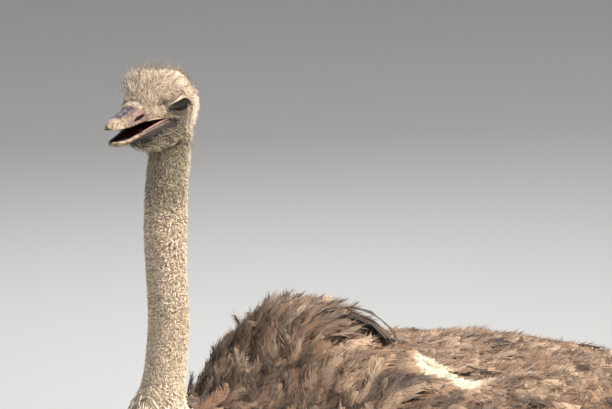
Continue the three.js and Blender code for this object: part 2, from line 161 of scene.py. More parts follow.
def outward(points, quads, fans):
    # a shell's volume is a sixth of the sum of a . (b x c) over its triangles; below zero, they turn over
    triangles = np.concatenate([quads[:, :3], quads[:, [0, 2, 3]], fans])
    a, b, c = (points[triangles[:, k]] for k in range(3))
    if (a * np.cross(b, c)).sum() < 0:
        return quads[:, ::-1], fans[:, ::-1]
    return quads, fans


def joinShells(shells):  # several closed shells laid end to end as one list of points and faces
    points, quads, fans, first = [], [], [], 0
    for grid in shells:
        p, q, f = closedShell(grid)
        q, f = outward(p, q, f)
        points.append(p)
        quads.append(q + first)
        fans.append(f + first)
        first += len(p)
    return np.concatenate(points), np.concatenate(quads), np.concatenate(fans)


def finishPiece(piece, material, replaced=()):
    # gives a piece its material, the body it rides on, and the nodes it stands for
    piece.data.materials.append(material)
    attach(piece, "root")
    if replaced:
        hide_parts(*replaced)
    return piece


# places

def boxMiddle(node):  # halfway between the node's least and greatest corner
    low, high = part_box(node)
    return (np.array(low) + np.array(high)) / 2


headAt = (boxMiddle("eye_left") + boxMiddle("eye_right")) / 2
headAxes = (turnAbout("z", bird["headYaw"]) @ np.array([[0, 1, 0], [-1, 0, 0], [0, 0, 1.0]])
            @ turnAbout("y", -bird["headPitch"]) @ turnAbout("x", bird["headRoll"]))
bodyAt = np.array([0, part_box("trunk")[0].y + bird["breastFront"] * mm, 0])


def fromHead(q):  # millimetres forward, left and up from between the eyes, to the frame
    return headAt + (np.asarray(q, float) * mm) @ headAxes.T


def fromEye(side, q):  # millimetres forward, left and up from the middle of one side's eye, to the frame
    return fromHead(np.array([0, side * body["eyeOut"], 0]) + q)


def toHead(p):  # the frame, to millimetres forward, left and up from between the eyes
    return ((p - headAt) @ headAxes) / mm


def fromBody(q):  # millimetres left, back and up from the ground below the neck's foot, to the frame
    return bodyAt + np.asarray(q, float) * mm


def toBody(p):  # the frame, to millimetres left, back and up from the ground below the neck's foot
    return (p - bodyAt) / mm


# the body's form

body = {
    # [y, middle height, half width, rise to the back, drop to the belly, squareness], out to the plumes' tips
    "trunk": [
        [-78, 1000, 14, 14, 14, 2], [-60, 1000, 74, 64, 78, 2], [-20, 1000, 122, 112, 128, 2],
        [40, 1000, 156, 148, 172, 2], [110, 998, 171, 170, 206, 1.85], [200, 995, 190, 226, 238, 2],
        [300, 992, 246, 286, 252, 2.2], [400, 990, 270, 256, 260, 2.4], [500, 990, 266, 200, 262, 2.15],
        [600, 992, 258, 169, 254, 2.1], [730, 996, 240, 150, 236, 2.1], [860, 1002, 208, 109, 196, 2.1],
        [960, 1010, 160, 68, 142, 2], [1030, 1016, 100, 42, 84, 2], [1060, 1020, 16, 12, 16, 2]],
    # [height above the neck's foot, x, y, half width, half depth] of the bare neck
    "neck": [
        [-140, 0, 104, 88, 88], [-92, 0, 46, 74, 76], [-42, 0, 4, 50, 48], [-13, 0, -4, 40, 38],
        [12, 0, 3, 33, 34], [55, 0, 12, 29, 30.5], [137, 0, 20, 28.5, 30], [215, 0, 16, 27.5, 29.5],
        [292, 2, 14, 29.5, 31.5], [365, 5, 16.5, 27.5, 29.5], [420, 8, 20, 25.5, 28.5],
        [446, 10, 20, 23.5, 26], [474, 13, 20, 19, 22], [492, 13, 18, 3, 4]],
    "neckEnds": [-150, 490],
    # [forward, half width, top, bottom] of the head under its down
    "head": [
        [-66, 3, 6, -10], [-62, 17, 20, -27], [-48, 30.5, 35, -44], [-26, 38, 43, -50],
        [-6, 40.5, 44, -47], [8, 39.5, 40.5, -28], [24, 36.5, 34, -25], [44, 30, 22, -24.5],
        [62, 23, 7.6, -22], [72, 20.5, 2.4, -20]],
    # [rise, forward, its reach, up, its reach, lean] of the brow ridge, the lores, the cheek and the ear pit
    "swells": [[2.2, 2, 30, 19, 11, 0], [-2.6, 31, 17, 1, 7, -0.1], [1.6, 22, 20, -13, 7, 0],
               [-4.5, -31, 5.5, -9, 5, 0]],
    # [y, upper edge, lower edge, thickness] of a folded wing, its edges in degrees round the trunk
    "wing": [
        [236, 26, -6, 3], [282, 38, -22, 14], [350, 43, -32, 26], [430, 47, -37, 33], [540, 49, -36, 38],
        [680, 47, -28, 34], [790, 42, -18, 25], [860, 30, -6, 6]],
    "coat": 27,  # depth of the plumes over the trunk's skin
    "headBlend": 16, "neckBlend": 34,  # how softly head, neck and trunk flow together
    "eyeOut": 24.8,  # how far the eye's middle is from the head's
    "eyeBall": 23.6, "lidBall": 25.6, "socket": 21.5,  # radii of the ball, the lids over it and the socket
}


def softUnion(a, b, k):  # the nearer of two surfaces, with a fillet k deep where they meet
    h = np.clip(0.5 + 0.5 * (b - a) / k, 0, 1)
    return b + (a - b) * h - k * h * (1 - h)


def ovalDistance(x, z, wide, high, square):
    # how far outside the oval where |x / wide| and |z / high|, each to the power square, add up to 1
    reach = ((np.abs(x) / wide) ** square + (np.abs(z) / high) ** square) ** (1 / square)
    return (reach - 1) * np.minimum(wide, high)


def wingSwell(y, angle):
    # a folded wing's height over the flank: full between its edges, steep at the upper and soft at the lower
    top, bottom, thick = apart(readRows(body["wing"], y))
    inside = ease(0, 5, top - angle) * ease(0, 16, angle - bottom)
    return thick * inside * ease(body["wing"][0][0] - 10, body["wing"][1][0] + 20, y)


def trunkOval(x, y, z):
    # the oval of the trunk at y, its half height taken above or below the middle as z lies, and the angle of
    # x, z round it in degrees: 0 at its side, 90 on the back, -90 under the belly
    middle, wide, up, down, square = apart(readRows(body["trunk"], y))
    high = np.where(z > middle, up, down)
    return middle, wide, high, square, np.degrees(np.arctan2((z - middle) / high, np.abs(x) / wide))


def trunkDistance(p):
    # how far outside the trunk's oval, swollen where a wing lies, and sunk by the coat's depth
    x, y, z = apart(toBody(p))
    middle, wide, high, square, angle = trunkOval(x, y, z)
    swell = 0.8 * wingSwell(y, angle)
    return ovalDistance(x, z - middle, wide + swell, high + swell, square) + body["coat"]


def neckDistance(p):
    # how far outside the neck's level oval, or past either of its ends
    x, y, z = apart(toBody(p))
    up = z - bird["neckBase"]
    middleX, middleY, wide, deep = apart(readRows(body["neck"], up))
    low, high = body["neckEnds"]
    return np.maximum(ovalDistance(x - middleX, y - middleY, wide, deep, 2), np.maximum(up - high, low - up))


def headDistance(p):
    # an oval of the row's size, squarer at the jaw, less its swells, with a ball under each lid
    f, l, u = apart(toHead(p))
    side = np.abs(l)
    wide, top, bottom = apart(readRows(body["head"], f))
    middle, high = (top + bottom) / 2, (top - bottom) / 2
    flank = ease(0.35, 0.8, side / wide)
    square = 2.15 + 2.4 * ease(-4, 18, f) * ease(2, -6, u - middle)
    square = square + 0.5 * ease(40, 10, f) * ease(2, 12, u - middle)
    ends = np.maximum(f - body["head"][-1][0], body["head"][0][0] - f)
    distance = np.maximum(ovalDistance(l, u - middle, wide, high, square), ends)
    for rise, forward, long, above, tall, lean in body["swells"]:
        distance -= rise * flank * hill(f, forward, long) * hill(u, above + lean * (f - 20), tall)
    distance += 1.4 * flank * hill(np.hypot(f + 1, u), 29, 6)
    ball = np.sqrt(f ** 2 + (side - body["eyeOut"]) ** 2 + u ** 2) - body["lidBall"]
    return softUnion(distance, ball, 6)


def bodyDistance(p):  # head, neck and trunk as one form
    top = softUnion(headDistance(p), neckDistance(p), body["headBlend"])
    return softUnion(top, trunkDistance(p), body["neckBlend"])


# the midline under the skin's rings: [forward, up, lean] in the head, then [x, y, z, lean] to the rump
midline = {
    "head": [[63, -3, 0], [50, 0, 0], [26, 3, 0], [4, 1, 8], [-12, -8, 32], [-22, -22, 58], [-29, -42, 80],
             [-33, -64, 90]],
    "body": [
        [9, 22, 1592, 90], [6, 18, 1545, 90], [2, 14, 1472, 90], [0, 16, 1395, 90], [0, 20, 1317, 90],
        [0, 12, 1235, 90], [0, 3, 1192, 90], [0, -2, 1165, 86], [0, 6, 1130, 76], [0, 24, 1090, 60],
        [0, 56, 1050, 42], [0, 100, 1016, 26], [0, 160, 998, 13], [0, 230, 994, 5], [0, 300, 992, 0],
        [0, 420, 990, 0], [0, 600, 992, 0], [0, 800, 998, 0], [0, 960, 1010, 0], [0, 1036, 1018, 0]],
    "reach": [[0, 60], [5, 80], [8, 70], [13, 60], [15, 140], [18, 320], [27, 340]],  # how far a ray may go
    "rings": [[0, 8, 150], [8, 14, 96], [14, 27, 118]],  # [from stop, to stop, how many rings]
    "sides": 168,
}


def midlineRows():  # [stop, place, side direction, rise direction] for every stop
    rows = []
    for forward, up, lean in midline["head"]:
        c, s = np.cos(np.radians(lean)), np.sin(np.radians(lean))
        rise = headAxes @ np.array([-s, 0, c])
        rows.append([*fromHead([forward, 0, up]), *headAxes[:, 1], *rise])
    for x, y, z, lean in midline["body"]:
        c, s = np.cos(np.radians(lean)), np.sin(np.radians(lean))
        rows.append([*fromBody([x, y, z]), 1, 0, 0, 0, s, c])
    return [[stop, *row] for stop, row in enumerate(rows)]


def halve(low, high, outside, times):  # closes in on where outside turns true, by halving the stretch
    for _ in range(times):
        half = (low + high) / 2
        out = outside(half)
        low, high = np.where(out, low, half), np.where(out, half, high)
    return high


def castTube(middle, side, rise, sides, reach, distance, walk=24, halvings=13):
    # rays go out from each ring's middle at even angles, and the skin is where each first leaves the form:
    # a coarse walk finds the step that crosses the surface, and halving that step finds the point
    angles = circle(sides)[:, None]
    ray = side[:, None] * np.cos(angles) + rise[:, None] * np.sin(angles)
    reach = reach[:, None, None] * np.ones((1, sides, 1))
    low, high = np.zeros_like(reach), reach.copy()
    found = np.zeros(reach.shape, bool)
    for step in range(1, walk + 1):
        out = distance(middle[:, None] + ray * reach * step / walk)[..., None] > 0
        first = out & ~found
        low = np.where(first, reach * (step - 1) / walk, low)
        high = np.where(first, reach * step / walk, high)
        found |= out
    high = halve(low, high, lambda far: distance(middle[:, None] + ray * far)[..., None] > 0, halvings)
    return middle[:, None] + ray * high


def sinkSockets(grid):
    # points within a cone round each eye's outward axis are drawn in to the socket's radius, behind the ball
    q = toHead(grid)
    side = np.where(q[..., 1:2] > 0, 1.0, -1.0)
    centre = np.array([0, body["eyeOut"], 0]) * np.concatenate([side, side, side], -1)
    arm = q - centre
    distance = np.linalg.norm(arm, axis=-1, keepdims=True)
    facing = arm[..., 1:2] * side / distance
    sunk = ease(0.50, 0.62, facing) * (np.abs(q[..., 0:1]) < 40)
    return fromHead(centre + arm * (1 + sunk * (body["socket"] / distance - 1)))


def bodySkin():
    # the head, neck and trunk as rings cast from the midline, each square to the way the midline leans
    stops = spaced(midline["rings"])
    read = readRows(midlineRows(), stops)
    side = unit(read[:, 3:6])
    rise = unit(read[:, 6:9] - dot(read[:, 6:9], side) * side)
    reach = readRows(midline["reach"], stops)[:, 0] * mm
    return sinkSockets(castTube(read[:, 0:3], side, rise, midline["sides"], reach, bodyDistance)), stops


skinGrid, skinStops = bodySkin()
print("body skin cast,", skinGrid.shape[0], "rings of", skinGrid.shape[1])


# legs and feet

legs = {
    # [height from the ground, out, back, half width, half depth, how far the stride moves it]
    "rows": [
        [20, 118, 506, 20, 24, 1], [48, 118, 512, 27, 28, 1], [88, 118, 520, 30, 31, 1],
        [150, 118, 536, 21, 24, 0.97], [290, 119, 570, 20, 24, 0.9], [428, 120, 600, 24, 29, 0.82],
        [490, 120, 610, 33, 40, 0.8], [520, 121, 606, 31.5, 38, 0.78], [560, 124, 590, 29, 35, 0.7],
        [648, 130, 545, 46, 58, 0.5], [770, 134, 470, 80, 102, 0.2], [880, 132, 410, 96, 128, 0],
        [960, 120, 400, 84, 120, 0]],
    "stride": {1: -55, -1: 55},  # how far each foot is moved back
    "rings": [[0.020, 0.5, 116], [0.5, 0.955, 60]], "sides": 44, "fillet": 46,
    "plate": 0.0165, "plateRise": 2.0, "scale": 0.007, "scaleRise": 0.9, "heel": 5, "knuckle": 3,
    # rows of [distance along the toe, half width, top]; start is out and back, claw is its scale and shift
    "toes": {
        "big": {"start": [114, 556], "turn": -3, "plate": 11, "claw": [1.0, 0.0], "rows": [
            [0, 10, 30], [14, 27, 62], [44, 33, 72], [72, 29, 54], [100, 31, 50], [126, 27, 42],
            [152, 27, 40], [176, 22, 34], [190, 12, 24], [196, 4, 14]]},
        "small": {"start": [132, 534], "turn": 31, "plate": 9, "claw": [0.42, -46], "rows": [
            [0, 8, 24], [20, 20, 46], [52, 20, 40], [78, 18, 34], [102, 17, 31], [118, 12, 24],
            [126, 4, 13]]}},
    # [distance along the toe, height, half width, half thickness] of the big toe's claw
    "claw": [[150, 15, 9, 9], [168, 19, 12, 13], [196, 16, 11, 11.5], [214, 9.5, 6.5, 7], [224, 5, 2.2, 2.6]],
}


def plates(x, edge):  # one overlapping plate to each whole step of x: it rises to full by edge, then sinks
    t = x - np.floor(x)
    return ease(0, edge, t) * (1 - 0.45 * t)


def legSkin(side):
    # level rings cast from the rows' ovals; the trunk flows into the top, and plates run down the front
    up = spaced(legs["rings"])
    read = readRows(legs["rows"], up / mm)
    stride = legs["stride"][side]
    middle = np.stack([side * read[:, 0] * mm, bodyAt[1] + (read[:, 1] + read[:, 4] * stride) * mm, up], -1)
    across, back = np.array([[side * 1.0, 0, 0]]), np.array([[0, 1.0, 0]])

    def distance(p):  # how far outside the leg's oval or the trunk, with a fillet between them
        row = readRows(legs["rows"], p[..., 2] / mm)
        x = p[..., 0] / mm - side * row[..., 0]
        y = (p[..., 1] - bodyAt[1]) / mm - row[..., 1] - row[..., 4] * stride
        return softUnion(ovalDistance(x, y, row[..., 2], row[..., 3], 2.1), trunkDistance(p), legs["fillet"])

    reach = (read[:, 3] * 1.08 + 5 + 40 * ease(700, 800, up / mm)) * mm
    ones = np.ones((len(up), 1))
    grid = castTube(middle, across * ones, back * ones, legs["sides"], reach, distance, 12)
    arm = grid - middle[:, None]
    angle = np.arctan2(arm[..., 1], arm[..., 0] * side)
    front = ease(0.1, 0.75, -np.sin(angle))
    low = ease(0.045, 0.09, up)[:, None] * (1 - ease(0.47, 0.56, up))[:, None]
    step = (up[:, None] + 0.006 * np.cos(angle) ** 2) / legs["plate"]
    ridge = legs["plateRise"] * mm * front * low * plates(step, 0.3)
    spiral = up[:, None] / legs["scale"] + angle * 1.3
    ridge = ridge + legs["scaleRise"] * mm * (1 - front) * low * plates(spiral, 0.4)
    heel = legs["heel"] * mm * ease(0.3, 0.9, np.sin(angle)) * hill(up, 0.492, 0.045)[:, None]
    knuckle = legs["knuckle"] * mm * hill(up, 0.486, 0.03)[:, None] * np.abs(np.cos(angle)) ** 3
    grid = grid + unit(arm * [1, 1, 0]) * (ridge + heel + knuckle)[..., None]
    thigh = ease(0.5, 0.6, up)[:, None] + 0 * angle
    return grid, {"scute": low * np.ones_like(angle), "front": front * low, "thigh": thigh, "step": step}


def toeSkin(side, toe):
    # rings along the toe: a rounded section, flat on the ground, with plates over the top and pads below
    rows, plate, length = toe["rows"], toe["plate"], toe["rows"][-1][0]
    start = [toe["start"][0] * side, toe["start"][1] + legs["stride"][side]]
    a = np.radians(toe["turn"] * side)
    along, across = np.array([np.sin(a), -np.cos(a), 0]), np.array([np.cos(a), np.sin(a), 0])
    s = np.linspace(0.5, length - 0.3, 84)
    wide, top = apart(readRows(rows, s))
    angle = circle(40)
    c, n = np.cos(angle), np.sin(angle)
    bulge = (np.abs(c) ** 2.3 + np.abs(n) ** 2.3) ** (-1 / 2.3)
    over = ease(0.25, 0.8, n)
    swell = 1 + 0.05 * over * plates(s[:, None] / plate + 0 * angle, 0.35)
    pads = 1 - 0.1 * np.abs(np.cos(pi * s / 31))[:, None] ** 6 * ease(0.1, 0.6, -n)
    x = wide[:, None] * c * bulge * swell * pads
    z = 0.36 * top[:, None] + 0.64 * top[:, None] * n * bulge * swell
    z = np.maximum(z, 0.6 * (1 + np.cos(x * 0.9) * np.cos(s[:, None] * 0.9)))
    place = np.array([start[0] * mm, bodyAt[1] + start[1] * mm, 0])
    grid = place + (along * s[:, None, None] + across * x[..., None]) * mm
    grid = grid + np.array([0, 0, mm]) * z[..., None]
    masks = {"scute": np.ones_like(x), "front": over + 0 * x, "thigh": 0 * x,
             "step": s[:, None] / plate + 0 * x}
    return grid, masks, place, along


def clawShell(place, along, shrink, shift):
    # a blunt nail: an oval carried along a bowed line, ridged lengthwise
    rows = legs["claw"]
    s = np.linspace(rows[0][0], rows[-1][0], 26)
    z, wide, high = apart(readRows(rows, s))
    angle = circle(28)
    across = np.cross([0, 0, 1.0], along) * -1
    ridges = 1 + 0.02 * np.cos(9 * angle)
    x = wide[:, None] * np.cos(angle) * ridges * shrink
    up = z[:, None] * (0.35 + 0.65 * shrink) + high[:, None] * np.sin(angle) * ridges * shrink
    reach = (s[:, None, None] - rows[0][0]) * shrink + rows[0][0] + shift
    line = place + (along * reach + across * x[..., None]) * mm
    return line + np.array([0, 0, mm]) * np.maximum(up, 0.4)[..., None]


def buildSkin():
    # every closed shell of the skin with its masks: body, then leg and two toes a side; and each side's claws
    shells, claws = [(skinGrid, {})], {1: [], -1: []}
    for side in (1, -1):
        shells.append(legSkin(side))
        for toe in legs["toes"].values():
            grid, masks, place, along = toeSkin(side, toe)
            shells.append((grid, masks))
            claws[side].append(clawShell(place, along, *toe["claw"]))
    return shells, claws


skinShells, clawShells = buildSkin()
print("legs, feet and claws shaped")


# eyes and lids

eyes = {
    "front": [21.5, -4.5], "rear": [-19.5, -2.0], "top": 8.0, "bottom": 7.5,  # the opening's corners and bows
    "outer": 1.24, "columns": 132, "rows": 34,  # the lids' outer edge, in radians from the eye's outward axis
    "gaze": [0.16, 1.0, -0.06], "cornea": 1.5, "ballSides": 72,
    "search": (20.0, 40.0),  # from and to how far out from the eye's middle the skin is looked for
    # [height, share of the way out, reach] of the rolls and creases beside the opening
    "upperFolds": [[0.9, 0.2, 0.13], [-1.3, 0.31, 0.05], [0.7, 0.42, 0.1], [-0.7, 0.55, 0.04]],
    "lowerFolds": [[0.5, 0.16, 0.1], [-0.8, 0.26, 0.04], [-0.6, 0.4, 0.04]],
}


def aroundEye(side, angle, turn, radius):  # a point at an angle off the outward axis, turned round it
    turn, angle = np.broadcast_arrays(turn, angle)
    ray = np.stack([np.sin(angle) * np.cos(turn), side * np.cos(angle), np.sin(angle) * np.sin(turn)], -1)
    return fromEye(side, ray * radius[..., None])


def eyeball(side):
    # a ball with its pole on the gaze, and a clear bulge over the iris
    gaze = unit(np.array(eyes["gaze"]) * [1, side, 1])
    one = unit(np.cross(gaze, [0, 0, 1.0]))
    two = np.cross(one, gaze)
    angle = np.linspace(0.02, pi - 0.02, 60)[:, None]
    turn = circle(eyes["ballSides"])
    radius = body["eyeBall"] + eyes["cornea"] * ease(0.66, 0.2, angle)
    ray = gaze * np.cos(angle)[..., None] + np.sin(angle)[..., None] * (
        one * np.cos(turn)[:, None] + two * np.sin(turn)[:, None])
    grid = fromEye(side, ray * radius[..., None])
    return grid, angle + 0 * turn


def openingEdge(turn):
    # the opening's outline: a line from corner to corner, bowed up for the upper lid and down for the lower
    front, rear = np.array(eyes["front"]), np.array(eyes["rear"])
    c, s = np.cos(turn), np.sin(turn)
    forward = (front[0] + rear[0]) / 2 + (front[0] - rear[0]) / 2 * c
    line = (front[1] + rear[1]) / 2 + (front[1] - rear[1]) / 2 * c
    bow = np.where(s > 0, eyes["top"] * np.abs(s) ** 0.85, -eyes["bottom"] * np.abs(s) ** 0.95)
    return forward, line + bow - 0.7 * np.where(s > 0, np.sin(2 * turn), 0)


def foldsOf(rows, t):  # hills of the rows' heights at their shares t, added up
    return sum(height * hill(t, at, reach) for height, at, reach in rows)


def lidGrid(side):
    # a washer from the opening's edge out over the ball to under the skin, with folds beside the opening
    turn = circle(eyes["columns"])
    forward, up = openingEdge(turn)
    inner = np.arcsin(np.hypot(forward, up) / body["lidBall"])
    around = np.unwrap(np.arctan2(up, forward))
    t = np.linspace(0, 1, eyes["rows"])[:, None] ** 1.25
    even = around + (turn - around) * t * 0.4
    angle = inner * (1 - t) + eyes["outer"] * t
    low, high = (np.full(angle.shape, far) for far in eyes["search"])
    high = halve(low, high, lambda far: bodyDistance(aroundEye(side, angle, even, far)) > 0, 14)
    upper = ease(-0.1, 0.35, np.sin(turn))
    lift = 0.5 - 1.5 * ease(0.8, 1, t) - 2.9 * (1 - ease(0, 0.05, t)) + 0.9 * hill(t, 0.08, 0.1)
    lift = lift + upper * foldsOf(eyes["upperFolds"], t)
    lift = lift + (1 - upper) * foldsOf(eyes["lowerFolds"], t)
    lift = lift + 0.25 * np.sin(turn * 38 + 3 * np.sin(turn * 5)) * hill(t, 0.3, 0.28)
    # where painted shade darkens the lids' creases
    creaseShade = hill(t, 0.31, 0.06) * upper + hill(t, 0.26, 0.05) * (1 - upper)
    creaseShade = np.clip(creaseShade + 0.6 * hill(t, 0.55, 0.05) * upper, 0, 1)
    return aroundEye(side, angle, even, high + lift), t + 0 * turn, upper + 0 * t, creaseShade


# bill and mouth

bill = {
    # [forward, half width, top, edge] of the upper bill; the edge is the cutting edge's height
    "upper": [
        [50, 23, 11, -20.5], [58, 24, 7, -21.5], [72, 23.6, 2, -23], [88, 22, -4, -25.5],
        [104, 19.8, -9.5, -28], [116, 16.8, -14.8, -29], [126, 12.3, -19, -30], [132, 7.3, -22, -30],
        [134.3, 3, -23, -28]],
    # [forward of the hinge, half width, top, bottom] of the lower, before it gapes
    "lower": [
        [-6, 33, -1, -34], [10, 33, 0, -38], [30, 29, 0, -35], [52, 25.5, 0, -26], [74, 23, 0, -17],
        [92, 20.5, 0, -12.5], [108, 18, 0.5, -10], [120, 13.5, 2.5, -7], [127, 7.5, 4, -3.5],
        [129, 3, 4.5, -0.5]],
    "upperRings": [[50, 118, 62], [118, 134.3, 24]], "upperSides": 96,
    "lowerRings": [[-6, 108, 88], [108, 129, 26]], "lowerSides": 88,
    "nostril": [79, 13, 7.5],  # forward, half length, and half height in degrees round the bill
    "hinge": [2, 0, -19.5], "rim": 4.6, "lowerMarks": 24,  # lowerMarks: how far forward its marks are moved
    # the gape's edge from the upper bill back to the corner, in the head's own place
    "gapeEdge": [[64, 23.6, -22.3], [50, 25.5, -21.4], [36, 29.3, -20.9], [22, 32.8, -20.6],
                 [11, 35.3, -20.6], [3, 36.4, -21.4]],
    # and from the corner forward again along the lower bill, in the jaw's own place
    "gapeLow": [[9, 32.4, 0.5], [20, 30.7, 0.8], [36, 27.8, 1], [56, 24.6, 1], [76, 22, 0.8]],
    "gapeRings": 90, "gapeSides": 14, "gapeWide": 2.3, "gapeThick": 1.8,
    "tongue": {"back": 14, "length": 40, "half": 12.5, "thick": 3.2},
}


def fromJaw(q):  # the jaw's own place, swung down by the gape about its hinge, to the frame
    return fromHead(np.asarray(q, float) @ turnAbout("y", bird["gape"]).T + bill["hinge"])


def upperBill():
    # above: a low dome from edge to edge with a raised plate down its middle; below: a hollow palate
    f = spaced(bill["upperRings"])
    wide, top, edge = apart(readRows(bill["upper"], f))[..., None]
    a = circle(bill["upperSides"])
    c, s = np.cos(a), np.sin(a)
    y = wide * np.sign(c) * np.abs(c) ** 0.86
    over = edge + (top - edge) * np.abs(s) ** 0.92
    ratio = np.abs(y) / wide
    plate = ease(0.56, 0.46, ratio) * ease(134, 126, f)[:, None]
    groove = hill(ratio, 0.55, 0.08) * ease(127, 112, f)[:, None]
    over = over + 1.1 * plate - 0.9 * groove + 0.9 * ease(112, 124, f)[:, None] * plate
    rise = np.abs(np.degrees(np.arcsin(np.abs(s)))) + 0 * f[:, None]
    slant = rise - 19 - 0.12 * (78 - f[:, None])
    middle, long, tall = bill["nostril"]
    nostril = np.clip(1.3 - np.hypot((f[:, None] - middle) / long, slant / tall), 0, 1) * (s >= 0)
    y = y * (1 - 0.27 * ease(0.25, 0.8, nostril)) + np.sign(c) * 0.9 * hill(nostril, 0.12, 0.12)
    over = over - 1.5 * ease(0.3, 0.9, nostril)
    hollow = np.minimum(0.4 * (top - edge), 6.5) * np.abs(s) ** 1.6 + 1.1 * hill(ratio, 0.0, 0.13)
    under = edge + hollow * ease(134, 124, f)[:, None]
    z = np.where(s >= 0, over, under)
    flare = 1 + 0.03 * hill(np.abs(s), 0, 0.2)
    grid = fromHead(np.stack([f[:, None] + 0 * y, y * flare, z], -1))
    inside = ease(0.05, 0.3, -s) + 0 * y
    return grid, {"inside": inside, "plate": plate * (s > 0), "nostril": nostril,
                  "forward": f[:, None] + 0 * y}


def lowerBill():
    # outside: a keel from rim to rim; inside: a trough, floored with soft skin
    f = spaced(bill["lowerRings"])
    wide, top, bottom = apart(readRows(bill["lower"], f))[..., None]
    a = circle(bill["lowerSides"])
    c, s = np.cos(a), np.sin(a)
    rim = np.minimum(3.4, 0.35 * wide)
    y = np.where(s < 0, wide, wide - rim) * np.sign(c) * np.abs(c) ** 0.9
    deep = np.minimum(0.62 * (top - bottom), 11) * ease(129, 116, f)[:, None]
    z = np.where(s < 0, top + (bottom - top) * np.abs(s) ** 0.8, top - deep * np.abs(s) ** 0.6)
    ledge = np.where(s < 0, 0.7 * hill(np.abs(s), 0.38, 0.1), 0) * ease(20, 60, f)[:, None]
    z = z + hill(np.abs(s), 0, 0.22) + ledge
    folds = np.where(s < 0, 0.55 * np.sin(26 * a + 0.1 * f[:, None]), 0)
    folds = folds * ease(70, 45, f)[:, None] * ease(0.2, 0.5, -s)
    grid = fromJaw(np.stack([f[:, None] + 0 * y, y, z + folds], -1))
    # where painted shade darkens the lower bill's outside, below its rim
    under = ease(bill["rim"] - 1.5, bill["rim"] + 1, top - z) * (s < 0) * ease(112, 96, f)[:, None]
    return grid, {"inside": ease(0.02, 0.2, s) + 0 * y, "plate": 0 * y, "nostril": 0 * y,
                  "forward": f[:, None] + 0 * y, "under": under}


def sweep(path, across, width, thick, sides):
    # an oval section carried along a path: width goes along the given direction, thickness square to it
    along = unit(np.gradient(path, axis=0))
    across = unit(across - dot(across, along) * along)
    other = np.cross(along, across)
    a = circle(sides)[:, None]
    return path[:, None] + mm * (across[:, None] * np.cos(a) * width[:, None, None]
                                 + other[:, None] * np.sin(a) * thick[:, None, None])


def gapeRim(side):
    # one soft lip from the upper bill back to the mouth's corner and forward again along the lower bill
    top = fromHead(np.array(bill["gapeEdge"]) * [1, side, 1])
    low = fromJaw(np.array(bill["gapeLow"]) * [1, side, 1])
    corner = (top[-1] + low[0]) / 2 + headAxes @ np.array([-6, side * 1.5, 0]) * mm
    knots = np.concatenate([top, corner[None], low])
    reach = np.concatenate([[0], np.cumsum(np.linalg.norm(np.diff(knots, axis=0), axis=1))])
    s = np.linspace(0, reach[-1], bill["gapeRings"])
    path = readRows(np.column_stack([reach, knots]), s)
    t = s / reach[-1]
    ends = np.sin(pi * np.clip(t, 0.01, 0.99)) ** 0.35
    across = np.tile(headAxes[:, 1] * side, (len(s), 1))
    return sweep(path, across, bill["gapeWide"] * ends, bill["gapeThick"] * ends, bill["gapeSides"]), t


def mouthWeb(side):
    # the cheek's skin: straight lines from the upper edge to the lower, drawn back at the middle of its front
    t = np.linspace(0, 1, 26)
    edge = bill["gapeEdge"][::-1]
    edge = readRows([[i / (len(edge) - 1), *point] for i, point in enumerate(edge)], t * 0.9)
    top = fromHead(edge * [1, side, 1])
    low = fromJaw(np.stack([2 + 50 * t, side * (32 - 5.5 * t), 0 * t], -1))
    v = np.linspace(0, 1, 16)[:, None]
    sheet = top[:, None] * (1 - v) + low[:, None] * v
    back = headAxes @ np.array([-1.0, -side * 0.45, 0])
    pull = (18 * t[:, None, None] * np.sin(pi * v) ** 0.8 + 1.5) * mm
    wrinkle = headAxes[:, 1] * side * 0.7 * mm * np.sin(9 * pi * t)[:, None, None] * np.sin(pi * v)
    face = sheet + back * pull + wrinkle
    return np.concatenate([face, (face - headAxes[:, 1] * side * 1.2 * mm)[:, ::-1]], axis=1)


def tongueGrid():
    # a short blunt tongue lying in the trough: an oval section, narrower at the tip and rounded at both ends
    tongue = bill["tongue"]
    t = np.linspace(0, 1, 40)
    path = fromJaw(np.stack([tongue["back"] + tongue["length"] * t, 0 * t, -9.5 + 3 * t], -1))
    width = tongue["half"] * np.sqrt(np.clip(1 - (2 * t - 1) ** 4, 0.002, 1)) * (1 - 0.35 * t)
    thick = tongue["thick"] * np.sqrt(np.clip(1 - (2 * t - 1) ** 6, 0.002, 1))
    return sweep(path, np.tile(headAxes[:, 1], (len(t), 1)), width, thick, 24)


# walking over the skin

def steps(grid, axis):  # the way from each grid point to the next; columns go round, rows stop at the ends
    if axis == 1:
        return (np.roll(grid, -1, 1) - np.roll(grid, 1, 1)) / 2
    return np.gradient(grid, axis=0)


def groundOf(grid):  # a grid with its steps and outward normals, for things to grow on
    down, across = steps(grid, 0), steps(grid, 1)
    normal = unit(np.cross(across, down))
    arm = grid - grid.mean(1, keepdims=True)
    return {"points": grid, "down": down, "across": across, "normal": normal * np.sign((normal * arm).sum())}


def readGrid(values, i, j):  # a value between four neighbouring grid points; the columns go round
    rows, columns = values.shape[:2]
    i, j = np.clip(i, 0, rows - 1.001), j % columns
    a, b = i.astype(int), j.astype(int) % columns
    c = (b + 1) % columns
    u, v = (i - a)[..., None], (j - np.floor(j))[..., None]
    above, below = (values[row, b] * (1 - v) + values[row, c] * v for row in (a, a + 1))
    return above * (1 - u) + below * u


skin = groundOf(skinGrid)
headPlace, bodyPlace = toHead(skinGrid), toBody(skinGrid)


